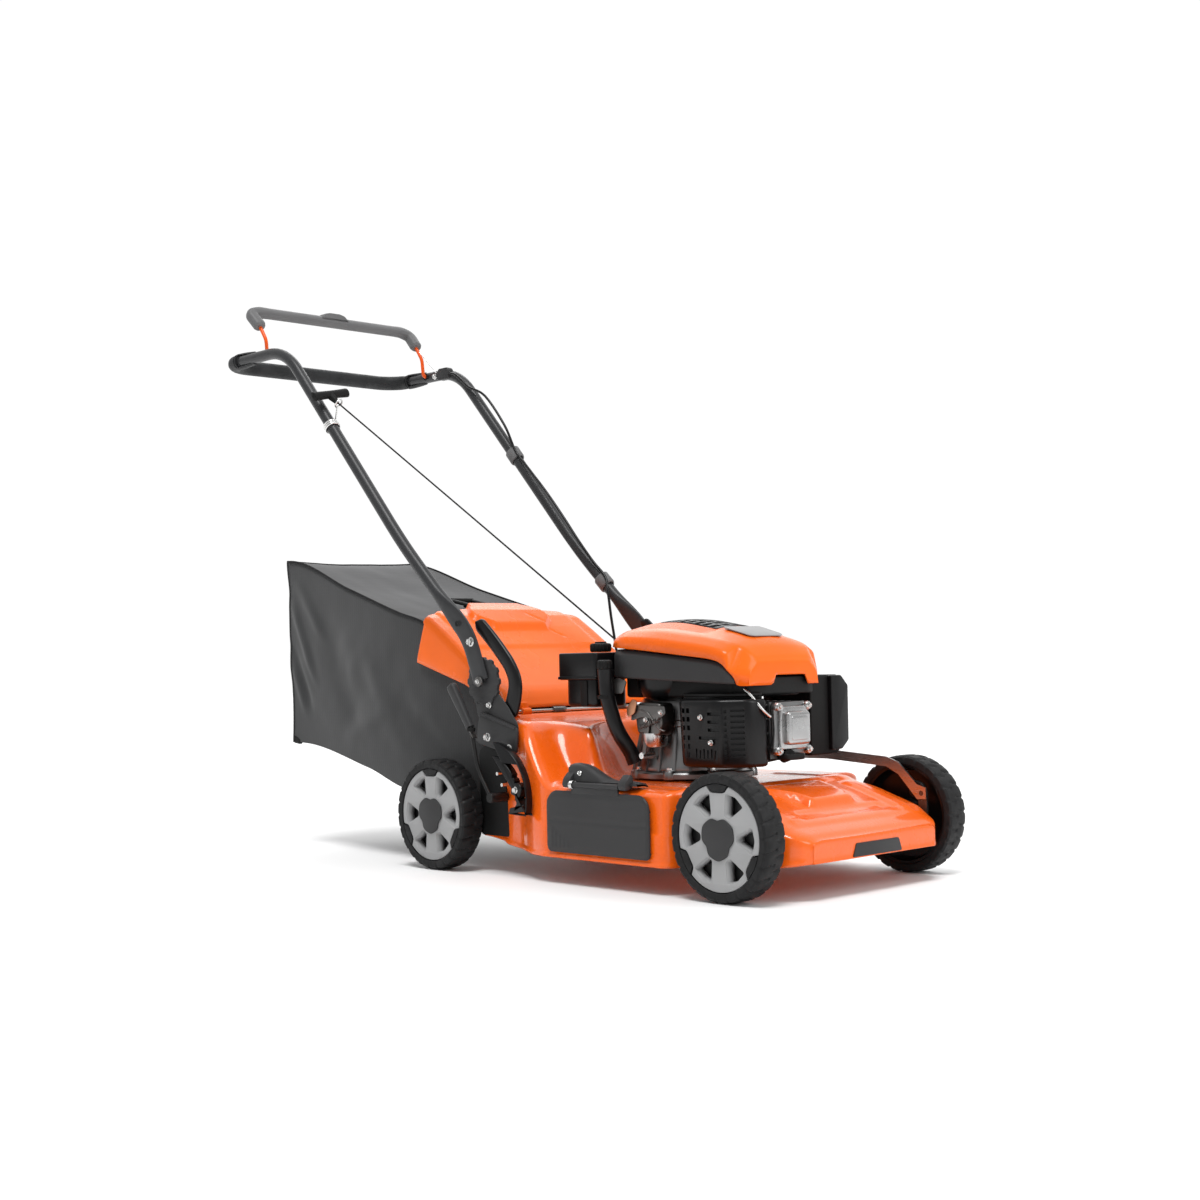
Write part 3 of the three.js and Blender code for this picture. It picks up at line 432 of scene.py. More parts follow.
def rounded(points, radius, steps=6, most=0.49):
    """Straight lines with rounded corners; radius is one number, or one for each corner."""
    pts = [Vector(p) for p in points]
    radii = [radius] * (len(pts) - 2) if isinstance(radius, (int, float)) else radius
    route = [pts[0]]
    for before, corner, after, reach in zip(pts, pts[1:], pts[2:], radii):
        route += round_corner(before, corner, after, reach, most, steps)
    return [*route, pts[-1]]


def dense(route, step):
    """A route with points at most about a step apart."""
    close = []
    for a, b in zip(route, route[1:]):
        parts = max(1, round((b - a).length / step))
        close += [a.lerp(b, k / parts) for k in range(parts)]
    return [*close, route[-1]]


def squarish(angle, power):
    """The reach of a unit circle that swells towards a square as the power rises above 2."""
    c, s = abs(math.cos(angle)), abs(math.sin(angle))
    return (c ** power + s ** power) ** (-1 / power)


def sweep(route, section, side=None, count=20):
    """Sweeps a section along a route: from (angle, share of the way) to a radius or a pair of them."""
    route = [Vector(p) for p in route]
    distance = [0.0]
    for a, b in zip(route, route[1:]):
        distance.append(distance[-1] + (b - a).length)
    rows = []
    tangent = (route[1] - route[0]).normalized()
    side = Vector(side) if side else tangent.orthogonal().normalized()
    for i, p in enumerate(route):
        ahead = (route[min(i + 1, len(route) - 1)] - route[max(i - 1, 0)]).normalized()
        side = (side - ahead * side.dot(ahead)).normalized()
        up = ahead.cross(side)
        row = []
        for k in range(count):
            angle = TAU * k / count
            r = section(angle, distance[i] / distance[-1])
            wide, high = r if isinstance(r, tuple) else (r, r)
            row.append(p + side * (wide * math.cos(angle)) + up * (high * math.sin(angle)))
        rows.append(row)
    return loft(rows)


def tube(name, route, radius, material, body="chassis", count=20):
    return from_bmesh(sweep(route, lambda a, t: radius, count=count), name, material, body)


def helix(start, step, across, up, turn, count):
    """Points that circle in the plane of two vectors while they move on by a step."""
    axes = list(zip(start, step, across, up))
    turns = [(k, math.cos(turn * k), math.sin(turn * k)) for k in range(count)]
    return [[place + move * k + wide * c + high * s for place, move, wide, high in axes]
            for k, c, s in turns]


def arc(centre, radius, start, end, steps=8):
    """Points of an arc, with angles in degrees."""
    turns = [math.radians(start + (end - start) * i / steps) for i in range(steps + 1)]
    return [(centre[0] + radius * math.cos(a), centre[1] + radius * math.sin(a)) for a in turns]


def circle(centre, radius, steps=24):
    return arc(centre, radius, 0, 360 * (steps - 1) / steps, steps - 1)


def fillet(points, radius, steps=4):
    """A closed outline with its corners rounded."""
    pts = [Vector(p) for p in points]
    smooth = []
    for i, corner in enumerate(pts):
        smooth += round_corner(pts[i - 1], corner, pts[(i + 1) % len(pts)], radius, 0.45, steps)
    return [tuple(p) for p in smooth]


def fillet_open(points, radii, steps=6):
    """An open line, of pairs, with its corners rounded."""
    return [tuple(p) for p in rounded(points, radii, steps, 0.46)]


def box_outline(u0, u1, v0, v1):
    return [(u0, v0), (u1, v0), (u1, v1), (u0, v1)]


def sides(side, near, far):
    """Two distances out from the middle plane as places in Y, the lower one first."""
    return sorted((side * near, side * far))


PLANES = {
    "xz": lambda u, v, w: (u, w, v),
    "xy": lambda u, v, w: (u, v, w),
    "yz": lambda u, v, w: (w, u, v),
}


def plate(name, outline, low, high, material, body="chassis", plane="xz", holes=(), bevel=0.8, sharp=38):
    """A flat piece with an outline and holes in a plane, between two values of the third axis."""
    curve = bpy.data.curves.new(name, "CURVE")
    curve.dimensions = "2D"
    curve.fill_mode = "BOTH"
    for loop in (outline, *holes):
        spline = curve.splines.new("POLY")
        spline.points.add(len(loop) - 1)
        for point, (u, v) in zip(spline.points, loop):
            point.co = (u, v, 0, 1)
        spline.use_cyclic_u = True
    curve.bevel_depth = bevel
    curve.bevel_resolution = 2
    curve.offset = -bevel
    curve.extrude = max((high - low) / 2 - bevel, 0)
    holder = link(name, curve)
    flat = bpy.data.meshes.new_from_object(holder.evaluated_get(bpy.context.evaluated_depsgraph_get()))
    bpy.data.objects.remove(holder)
    middle = (low + high) / 2
    bm = bmesh.new()
    bm.from_mesh(flat)
    for v in bm.verts:
        v.co = PLANES[plane](v.co.x, v.co.y, v.co.z + middle)
    return from_bmesh(bm, name, material, body, sharp=sharp)


def turned(name, profile, centre, material, body="chassis", axis="y", steps=64):
    """A profile of (radius, place along the axis) turned about an axis through a centre."""
    rows = []
    for i in range(steps):
        a = TAU * i / steps
        row = []
        for r, w in profile:
            u, v = r * math.cos(a), r * math.sin(a)
            offset = {"y": (u, w, v), "x": (w, u, v), "z": (u, v, w)}[axis]
            row.append(Vector(centre) + Vector(offset))
        rows.append(row)
    return from_bmesh(wheel_round(rows), name, material, body)


BOLT_LEVELS = [  # height and radius, in shares of the size; 1 where the section is a hexagon
    (0.0, 1.0, 0), (0.12, 1.0, 0), (0.24, 0.86, 0), (0.26, 0.78, 1), (0.72, 0.78, 1), (0.85, 0.68, 1),
    (0.85, 0.45, 0), (0.70, 0.30, 0),
]


def bolt(name, place, axis, size, body="chassis"):
    """A flanged hexagon bolt head with a dished top, on a surface at place, facing along axis."""
    turn = Vector(axis).to_track_quat("Z", "Y").to_matrix().to_4x4()
    shape = Matrix.Translation(place) @ turn
    rows = []
    for height, radius, hexagon in BOLT_LEVELS:
        row = []
        for k in range(24):
            a = TAU * k / 24
            r = radius * size
            if hexagon:
                r *= math.cos(math.pi / 6) / math.cos((a % (TAU / 6)) - math.pi / 6)
            row.append(shape @ Vector((r * math.cos(a), r * math.sin(a), height * size)))
        rows.append(row)
    from_bmesh(loft(rows), name, "zinc", body, sharp=25)


def soften(value):
    value = min(1.0, max(0.0, value))
    return value * value * (3 - 2 * value)


def ramp(value, start, end):
    """0 before start, 1 after end, smooth between, in either direction."""
    return soften((value - start) / (end - start))


def along(table, x, column):
    """Reads a smooth curve through a table's rows, whose first column rises."""
    if x <= table[0][0]:
        return table[0][column]
    for i in range(len(table) - 1):
        a, b = table[i], table[i + 1]
        if x <= b[0]:
            before = table[max(i - 1, 0)]
            after = table[min(i + 2, len(table) - 1)]
            span = b[0] - a[0]
            t = (x - a[0]) / span

            def slope(p, q, r):
                left = (q[column] - p[column]) / (q[0] - p[0]) if q[0] > p[0] else 0
                right = (r[column] - q[column]) / (r[0] - q[0]) if r[0] > q[0] else 0
                return 2 * left * right / (left + right) if left * right > 0 else 0

            m0, m1 = slope(before, a, b) * span, slope(a, b, after) * span
            return ((2 * t ** 3 - 3 * t * t + 1) * a[column] + (t ** 3 - 2 * t * t + t) * m0
                    + (3 * t * t - 2 * t ** 3) * b[column] + (t ** 3 - t * t) * m1)
    return table[-1][column]


make_camera()
make_studio()


# ---------- wheels ----------
LUGS = 26
TREAD = [  # place across the tyre and radius in a groove, then on a lug
    ((202, 79.5), (202, 79.5)), ((200.4, 82), (200.4, 82)), ((200.8, 87.5), (200.6, 88)),
    ((202.2, 90.4), (201.2, 91.6)), ((205, 92.4), (204.4, 94.4)), ((212, 92.8), (212, 95)),
    ((219.6, 92.8), (219.6, 95)), ((221.4, 92.8), (221.4, 95)), ((229, 92.8), (229, 95)),
    ((237, 92.5), (237.6, 94.6)), ((242, 90.6), (242.6, 92.6)), ((243.8, 87.2), (244.6, 88.6)),
    ((243.6, 84), (244, 84.4)), ((243.8, 80.6), (243.8, 80.6)), ((243, 79.5), (243, 79.5)),
]


def lug_height(turn, across):
    """1 on a lug and 0 in a groove, for a share of a turn and a place across the tyre."""
    row_shift = 0.5 * ramp(across, 219.6, 221.4)
    slant = 0.22 * (across - 222) / 20
    phase = (turn * LUGS + row_shift + slant) % 1.0
    return ramp(phase, 0.0, 0.1) * ramp(phase, 0.92, 0.82)


def make_tyre(label, body, x, side):
    rows = []
    steps = LUGS * 12
    for i in range(steps):
        a = TAU * i / steps
        row = []
        for groove, lug in TREAD:
            height = lug_height(i / steps, (groove[0] + lug[0]) / 2)
            across = groove[0] + (lug[0] - groove[0]) * height
            r = groove[1] + (lug[1] - groove[1]) * height
            row.append((x + r * math.cos(a), side * across, WHEEL_Z + r * math.sin(a)))
        rows.append(row)
    bm = wheel_round(rows)
    tyre = from_bmesh(bm, f"tyre_tread_{label}", "tyre", body, sharp=32)
    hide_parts(f"tyre_{label}")


def polar(x, r, degrees):
    a = math.radians(degrees)
    return (x + r * math.cos(a), WHEEL_Z + r * math.sin(a))


def polars(x, middle, *points):
    """Points of a wheel's face, each a radius and an angle from a middle one."""
    return [polar(x, r, middle + turn) for r, turn in points]


LOBES = (90, 210, 330)
BARREL = [  # radius, place across the wheel
    (79.3, 202.5), (79.3, 226), (24, 226), (22, 233), (7, 233), (7, 202), (17, 202), (20, 206), (24, 221),
    (70, 221), (74, 216), (76, 203),
]


def rim_outline(x, radius):
    """The silver face, a disc with a notch at each of three spokes."""
    outline = []
    for lobe in LOBES:
        outline += polars(x, lobe, (radius, -16), (68.5, -12), (66.5, -8), (66, 0), (66.5, 8), (68.5, 12),
                          (radius, 16))
        outline += [polar(x, radius, a) for a in range(lobe + 20, lobe + 104, 5)]
    return outline


def make_rim(label, body, x, side):
    pockets = []
    funnels = bmesh.new()
    for a in range(0, 360, 60):
        pocket = fillet(polars(x, a, (35, -8), (67.5, -16.5), (69.5, 0), (67.5, 16.5), (35, 8)), 4)
        window = fillet(polars(x, a, (37, -5), (65.8, -14.6), (67.6, 0), (65.8, 14.6), (37, 5)), 3)
        pockets.append(pocket)
        rows = [[(u, side * y, v) for u, v in loop] for loop, y in
                ((pocket, 241.2), (window, 233), (window, 226.4))]
        grid_bmesh(rows, closed_columns=True, bm=funnels)
    face = plate(f"rim_face_{label}", rim_outline(x, 78.2), *sides(side, 234.5, 242.2), "rim", body,
                 holes=pockets, bevel=1.1)
    floor = from_bmesh(funnels, f"rim_windows_{label}", "rim", body, sharp=30)
    thicken(floor, 0.8, 0)
    barrel = [(r, side * w) for r, w in BARREL]
    back = turned(f"wheel_barrel_{label}", barrel, (x, 0, WHEEL_Z), "black_plastic", body)
    for index, lobe in enumerate(LOBES):
        pad = polars(x, lobe, (79, -15), (68.2, -10), (67, 0), (68.2, 10), (79, 15), (79.3, 0))
        plate(f"tyre_lobe_{label}_{index + 1}", fillet(pad, 2), *sides(side, 234.6, 243.4), "tyre", body,
              bevel=0.9)
    cap_outline = []
    for i in range(60):
        a = TAU * i / 60
        turn = 3 * (a - math.radians(30))
        r = 30.3 + 2.9 * math.cos(turn) - 0.9 * math.cos(2 * turn) + 0.7 * math.cos(3 * turn)
        cap_outline.append((x + r * math.cos(a), WHEEL_Z + r * math.sin(a)))
    cap = plate(f"hub_cap_{label}", cap_outline, *sides(side, 242.4, 244.6), "grey_plastic", body,
                bevel=0.9)
    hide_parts(f"rim_{label}")
    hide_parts(f"wheel_cap_{label}")


for end, sign in (("front", 1), ("rear", -1)):
    for side_name, side in SIDES.items():
        label = f"{end}_{side_name}"
        make_tyre(label, f"wheel_{label}", sign * HALF_BASE, side)
        make_rim(label, f"wheel_{label}", sign * HALF_BASE, side)


# ---------- cutting deck ----------
ENGINE_AXIS = (62, 0)
HUMP = [  # x, rise over the deck's top
    (-250, 98), (-205, 103), (-178, 103), (-150, 98), (-60, 84), (-20, 70),
]
DECK = [  # x, half width, nose height, bottom edge, shoulder width, shoulder height
    (-250, 190, 158, 60, 18, 18), (-205, 190, 158, 55, 18, 20), (-178, 199, 158, 50, 20, 22),
    (-140, 204.5, 158, 46, 22, 20), (-110, 217, 158, 44, 26, 18), (-80, 228, 158, 42, 30, 15),
    (-45, 235, 158, 42, 32, 12), (240, 235, 158, 42, 32, 12), (252, 235, 155, 42, 34, 14),
    (262, 235, 151, 42, 36, 18), (300, 235, 143, 44, 38, 20), (350, 235, 127, 47, 38, 18),
    (380, 235, 116.5, 49, 36, 15), (400, 235, 107, 51, 34, 12), (420, 235, 97, 53, 30, 8),
    (434, 235, 88, 55, 26, 5),
]
CORNER_X = (212, 233)
BODY_WIDTH, NOSE_WIDTH = 235, 190  # half widths behind and before the front corners
NOSE_FOOT = 55
STEP_Z = 150  # the height of the step in the left side, behind x = -48
NOSE = [(233, NOSE_WIDTH), (345, NOSE_WIDTH), (368, 188.8), (388, 185), (404, 179), (416, 172), (426, 162),
        (434, 148)]


def deck_half_width(x):
    if x <= CORNER_X[0]:
        return along(DECK, x, 1)
    if x < CORNER_X[1]:
        t = (x - CORNER_X[0]) / (CORNER_X[1] - CORNER_X[0])
        return NOSE_WIDTH + (BODY_WIDTH - NOSE_WIDTH) * math.sqrt(max(0.0, 1 - t * t))
    return along(NOSE, x, 1)


def hump_share(x, y):
    """The share of the rear hump's height at a place: it wraps round the engine and slopes off outboard."""
    bowl = ramp(math.hypot(x - ENGINE_AXIS[0], y - ENGINE_AXIS[1]), 126, 172)
    slope = ramp(x, -34, -146)
    outboard = ramp(abs(y), 118, 168)
    share = bowl * (1 - outboard) + slope * outboard
    return share * ramp(x, 6, -60) if x > -60 else share


def deck_height(x, y):
    z = along(DECK, x, 2)
    if x < 10:
        return z + along(HUMP, x, 1) * hump_share(x, y)
    if x > 250:
        pad_edge = 78 - 30 * ramp(x, 258, 350)
        pad = ramp(abs(y), pad_edge + 7, pad_edge) * ramp(x, 252, 268) * ramp(x, 358, 349)
        z += (5 + 7 * ramp(x, 262, 350)) * pad
        fender = ramp(abs(y), 112, 124) * ramp(abs(y), 156, 146) * ramp(x, 268, 282) * ramp(x, 398, 380)
        z += 4.5 * fender
        valley = ramp(x, 356, 366) * ramp(x, 384, 374) * ramp(abs(y), 108, 96)
        z -= 3.5 * valley
        ridge = ramp(x, 384, 390) * ramp(x, 406, 396) * ramp(abs(y), 152, 140)
        z += 2.6 * ridge
        return z
    rib = ramp(abs(y), 118, 126) * ramp(abs(y), 196, 188) * ramp(x, 120, 128) * ramp(x, 236, 226)
    return z + 2.0 * rib


def deck_side(x, side):
    """Half a section, from the bottom lip up to the top's edge: points of (y, z) for one side."""
    w = deck_half_width(x)
    low = along(DECK, x, 3)
    wide, high = along(DECK, x, 4), along(DECK, x, 5)
    high = high + 6 * hump_share(x, side * w) if x < 10 else high
    edge_top = deck_height(x, side * (w - wide))
    lip = min(4.0, max(0.0, (434 - x) / 6))
    bead = ramp(x, -120, -80) * ramp(x, 226, 206) * 3.5
    wall_top = edge_top - high
    points = [(w + lip - 1.5, low), (w + lip, low + 1.2), (w + lip, low + 4), (w + 0.6, low + 7),
              (w, low + 10)]
    for z, inset in ((100, 0), (104, 0.3), (109, 1)):
        level = min(z, low + 10 + (wall_top - low - 10) * (0.4 + inset * 0.05))
        points.append((w - bead * inset, level))
    points.append((w - bead, wall_top))
    steps = 8
    if side > 0 and x < -48:
        points = [(py, min(pz, STEP_Z - 6)) for py, pz in points[:-1]]
        inner = min(186.6, w - 5)
        points += [(w - 1, STEP_Z - 5), (w - 4, STEP_Z - 1), (inner + 0.5, STEP_Z), (inner, STEP_Z + 3)]
        wide = 14
        high = min(18, max(4, edge_top - STEP_Z - 6))
        w = inner
        bead = 0
        wall_top = edge_top - high
        steps = 5
    for k in range(1, steps + 1):
        a = math.radians(90 * k / steps)
        points.append((w - bead - wide * (1 - math.cos(a)), wall_top + high * math.sin(a)))
    return [(side * py, pz) for py, pz in points]


def deck_row(x):
    right, left = deck_side(x, -1), deck_side(x, 1)
    y0, y1 = right[-1][0], left[-1][0]
    across = [y0 + (y1 - y0) * k / 60 for k in range(1, 60)]
    middle = [(y, deck_height(x, y)) for y in across]
    return [(x, y, z) for y, z in right + middle + left[::-1]]


def spread(start, end, step):
    count = max(1, round(abs(end - start) / step))
    return [start + (end - start) * i / count for i in range(count)]


def make_deck():
    xs = [*spread(-250, -48.5, 5), -48.4, *spread(-47.9, 200, 7), *spread(200, CORNER_X[0], 4)]
    reach = CORNER_X[1] - CORNER_X[0]
    xs += [CORNER_X[0] + reach * math.sin(math.radians(90 * k / 9)) for k in range(9)]
    xs += [*spread(CORNER_X[1] + 0.1, 268, 3), *spread(268, 345, 5), *spread(345, 412, 2.4),
           *spread(412, 434, 2), 434]
    rows = [deck_row(x) for x in xs]
    bm = grid_bmesh(rows)
    top = [p for p in rows[-1] if p[2] > 80]
    front = []
    for forward, share in ((0, 0), (0.5, 0.04), (0.9, 0.12), (0.9, 0.5), (0.6, 0.9), (1.2, 0.97), (1.2, 1)):
        front.append([(434 + forward, y, z + (NOSE_FOOT - z) * share) for _, y, z in top])
    grid_bmesh(front, bm=bm)
    deck = from_bmesh(bm, "pressed_deck", "paint", sharp=50)
    thicken(deck, 2.2)
    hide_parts("deck_shell")
    for side_name, side in SIDES.items():
        ear = fillet([(-236, 64), (-300, 64), (-304, 78), (-300, 96), (-276, 103), (-236, 104)], 8)
        plate(f"axle_ear_{side_name}", ear, *sides(side, 187, 190), "paint",
              holes=[circle((-290, 80), 7.6, 20)])
        lug = fillet([(-197, 250), (-178, 250), (-179, 272), (-187, 278), (-195, 272)], 4)
        plate(f"flap_lug_{side_name}", lug, *sides(side, 179.5, 183.5), "paint", bevel=0.6,
              holes=[circle((-187, 270.5), 3.3, 16)])
    strip = [(-250, 252), (-244, 262), (-206, 268), (-180, 266), (-172, 258), (-172, 254), (-206, 257),
             (-244, 252)]
    plate("flap_hinge_strip", fillet(strip, 3), -172, 172, "paint", bevel=0.8)


make_deck()


def make_front_insert():
    outline = fillet([(-58.5, 57), (60.5, 57), (53, 77), (-50, 77)], 3)
    piece = plate("nose_insert", outline, 434.2, 437, "grey_plastic", plane="yz", bevel=0.8)
    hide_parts("front_insert")


make_front_insert()


# ---------- side discharge cover ----------
def cover_depth(x, z):
    """How far the cover's face stands out: a shallow bulge, a crease and ribs at the rear foot."""
    out = 1.6 * ramp(z, 52, 62) * ramp(z, 150, 138)
    out -= 0.9 * ramp(z, 108, 104) * ramp(z, 98, 102)
    for i in range(5):
        centre = -24 + 9 * i
        out += 0.8 * ramp(abs(x - centre), 2.6, 1.2) * ramp(z, 58, 62) * ramp(z, 92 - 5 * i, 88 - 5 * i)
    return out


def make_side_cover():
    x0, x1, low, high = -38, 194, 52, 150
    rows = []
    for i in range(75):
        x = x0 + (x1 - x0) * i / 74
        inset = min(x - x0, x1 - x)
        radius = 26
        drop = radius - math.sqrt(max(0, radius ** 2 - max(0, radius - inset) ** 2))
        lift = 10 - math.sqrt(max(0, 100 - max(0, 10 - inset) ** 2))
        top, bottom = high - drop, low + lift
        row = [(x, -237.4, bottom + 0.4)]
        for k in range(41):
            z = bottom + (top - bottom) * k / 40
            edge = min(x - x0, x1 - x, z - bottom, top - z)
            y = -239.4 - cover_depth(x, z) * ramp(edge, 0, 6) - 1.2 * ramp(edge, 0, 2)
            row.append((x, y, z))
        row.append((x, -237.4, top - 0.4))
        rows.append(row)
    bm = grid_bmesh(rows)
    cover = from_bmesh(bm, "discharge_cover_panel", "grey_plastic", "side_cover", sharp=60)
    thicken(cover, 1.8)
    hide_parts("side_discharge_cover")
    tube("discharge_cover_knuckle", [(20.5, -239, 160), (129.5, -239, 160)], 4.5, "grey_plastic",
         "side_cover")
    plate("discharge_cover_neck", fillet([(21, 146), (129, 146), (126, 158), (24, 158)], 2), -241.2, -238,
          "grey_plastic", "side_cover", bevel=0.6)


make_side_cover()


def make_cover_hinge():
    """A saddle that runs down forward along the shoulder, with the pin's lugs, a bolt and the spring."""
    rows = []
    for i in range(40):
        t = i / 39
        x = 6 + 154 * t
        crest = 192 - 26 * soften(t * 1.15) + 3 * math.sin(t * 9)
        outer, inner, foot = -232, -203 - 4 * t, 161.5
        ring = [(outer, foot), (outer - 0.5, foot + 4), (outer + 2, crest - 6), (outer + 7, crest - 1.5),
                ((outer + inner) / 2, crest), (inner - 4, crest - 2), (inner, crest - 8), (inner + 1, foot)]
        rows.append([(x, y, z) for y, z in ring])
    bm = loft(rows)
    saddle = from_bmesh(bm, "cover_hinge_saddle", "grey_plastic", sharp=50)
    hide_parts("side_cover_hinge")
    for name, low, high in (("rear", 4, 19.5), ("front", 130.5, 146)):
        outline = fillet([(-226, 158), (-240, 154.5), (-244.2, 160), (-241, 170), (-230, 180), (-224, 176)],
                         4)
        plate(f"cover_hinge_lug_{name}", outline, low, high, "grey_plastic", plane="yz", bevel=1.2)
    bolt("cover_hinge_bolt", (34, -232.4, 178), (0, -1, 0.25), 4.2)
    spring = helix((20, -239, 160), (0.12, 0, 0), (0, 6.2, 0), (0, 0, 6.2), 0.55, 60)
    tube("cover_spring", spring, 0.8, "zinc", "side_cover")


make_cover_hinge()


# ---------- cable and rope ----------
CABLE = [
    (-811.6, 200.6, 969), (-790, 200.6, 962), (-768, 201, 946), (-747, 202, 930),
    (-700, 206, 906), (-640, 206, 838), (-609, 207, 783),
    (-566, 204, 742), (-510, 200, 690), (-460, 199, 636), (-420, 200, 588), (-385, 205, 545),
    (-354, 207, 514),
    (-337, 197, 484), (-327, 193.9, 438), (-318, 193.9, 392), (-308, 193.9, 340), (-292, 193.9, 288),
    (-262, 194.6, 256), (-225, 196.5, 246), (-180, 198.5, 245), (-140, 195, 248), (-100, 178, 270),
    (-60, 152, 300), (-34, 130, 322), (-16, 118, 334),
]
ROPE_EYE = Vector((-45, -62, 384))
GUIDE_EYE = Vector((-650, -199, 851))


def make_cable():
    """The brake cable's housing, which crosses the fold of the handle beside the left bracket."""
    cable = tube("brake_cable", catmull(CABLE, 5), 2.6, "black_plastic", None)
    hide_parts("bail_cable")
    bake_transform(cable)


def make_rope():
    """The recoil rope, held taut between the blower housing and the guide on the right arm."""
    route = [ROPE_EYE.lerp(GUIDE_EYE, t) for t in shares(48)]
    twist = lambda a, t: 1.5 + 0.12 * math.cos(3 * a + t * 900)
    rope = from_bmesh(sweep(route, twist), "recoil_rope", "rope", None)
    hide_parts("starter_rope")
    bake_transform(rope)


make_cable()
make_rope()


# ---------- handle ----------
FOLD = Vector((-225, 0, 323))
TUBE_RADIUS = 11
ARM_Y = 215
BAR_Z = 971
BAR_X = -1018
PRESSED_BELOW = 560  # the height under which the arms' shape changes
FLAT_LENGTHS = (112, 205)  # along an arm, where it stops being flat and where it is round
FLAT_SECTION = (18.5, 3.2)  # half the width and half the thickness where it is flat
ARM = [(-225, 323), (-256, 401), (-438, 572), (-799, BAR_Z), (-953, BAR_Z)]


def on_side(points, side):
    return [Vector((x, side * y, z)) for x, y, z in points]


def make_arm(name, side):
    """A tube pressed flat over its lowest hand's width, with a bolt and an empty bolt hole, whose dark
    inside is painted shade on a matt black dish.
    """
    route = rounded(on_side([(x, ARM_Y, z) for x, z in ARM], side), [30, 60, 60], 10)
    pressed = [p for p in route if p.z < PRESSED_BELOW]
    close = dense(pressed, 9) + route[len(pressed):]
    total = sum((b - a).length for a, b in zip(close, close[1:]))
    flat_end, round_start = (length / total for length in FLAT_LENGTHS)

    def section(angle, t):
        share = ramp(t, flat_end, round_start)
        wide, high = (flat + (TUBE_RADIUS - flat) * share for flat in FLAT_SECTION)
        reach = squarish(angle, 3.4 - 1.4 * share)
        return (wide * reach, high * reach)

    bm = sweep(close, section, side=(0.93, 0, 0.36), count=32)
    arm = from_bmesh(bm, f"handle_tube_{name}", "tube", "handle", sharp=60)
    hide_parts(f"handle_arm_{name}")
    outer = side * (ARM_Y + FLAT_SECTION[1])
    place = Vector((-246, outer, 391))
    bolt(f"arm_bolt_{name}", place, (0, side, 0), 8.2, "handle")
    # The empty bolt hole is drawn as a matt black dish: painted shade inside the hole.
    turned(f"arm_hole_painted_shade_{name}", [(1.0, side * 0.2), (4.2, side * 0.2), (5.2, side * 0.9), (3.6, side * 0.7)],
           (-279, outer + side * 2.4, 423), "soot_plastic", "handle", steps=20)


def crossbar_route(start_x):
    r = 52
    turns = [math.radians(90 * i / 10) for i in range(11)]
    left = [(BAR_X + r - r * math.sin(a), ARM_Y - r + r * math.cos(a), BAR_Z) for a in turns]
    right = [(x, -y, z) for x, y, z in reversed(left)]
    return [Vector(p) for p in [(start_x, ARM_Y, BAR_Z), *left, *right, (start_x, -ARM_Y, BAR_Z)]]


def make_crossbar():
    bar = tube("crossbar_tube", crossbar_route(-955), TUBE_RADIUS, "tube", "handle")
    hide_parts("handle_crossbar")
    route = crossbar_route(-964)
    start = [route[0].lerp(route[1], k / 6) for k in range(6)]
    end = [route[-2].lerp(route[-1], k / 6) for k in range(1, 7)]
    close = dense([*start, *route[1:-1], *end], 6)

    def section(angle, t):
        end = min(t, 1 - t)
        radius = 14.2 + 0.8 * ramp(end, 0.02, 0.05)
        radius -= 1.2 * ramp(end, 0.004, 0.0)
        return radius

    grip = from_bmesh(sweep(close, section, side=(0, 0, 1), count=28), "foam_grip", "grip", "handle",
                      sharp=50)
    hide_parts("handle_grip")
    for name, side in SIDES.items():
        for index, x in enumerate((-961, -967)):
            turned(f"grip_ring_{name}_{index + 1}",
                   [(12.2, -1.6), (15.1, -1.6), (15.5, 0), (15.1, 1.6), (12.2, 1.6)],
                   (x, side * ARM_Y, BAR_Z), "grip", "handle", axis="x", steps=36)
        for index, up in enumerate((1, -1)):
            rows = []
            for i in range(15):
                t = i / 14
                x = -966 + 58 * t
                rise = 11.4 + 2.9 * (1 - t * t)
                width = 7.2 - 2.2 * t * t
                row = []
                for w, drop in ((-1, -0.6), (-0.7, 1), (0, 1.15), (0.7, 1), (1, -0.6), (0, -0.9)):
                    out = rise + drop * 1.6 - 0.35 * (w * width) ** 2 / 11
                    row.append((x, side * ARM_Y + w * width, BAR_Z + up * out))
                rows.append(row)
            from_bmesh(loft(rows), f"grip_tongue_{name}_{index + 1}",
                       "grip", "handle", sharp=50)


for side_name, side in SIDES.items():
    make_arm(side_name, side)
make_crossbar()


# ---------- bail ----------
BAIL_X, BAIL_Y = -893, 196


def bail_wire_side(side):
    return on_side([(BAIL_X, 213, BAR_Z), (BAIL_X, BAIL_Y, BAR_Z), (-897, BAIL_Y, 1008),
                    (-921, BAIL_Y, 1042), (-943, BAIL_Y - 2, 1063), (-945, BAIL_Y - 20, 1070)], side)


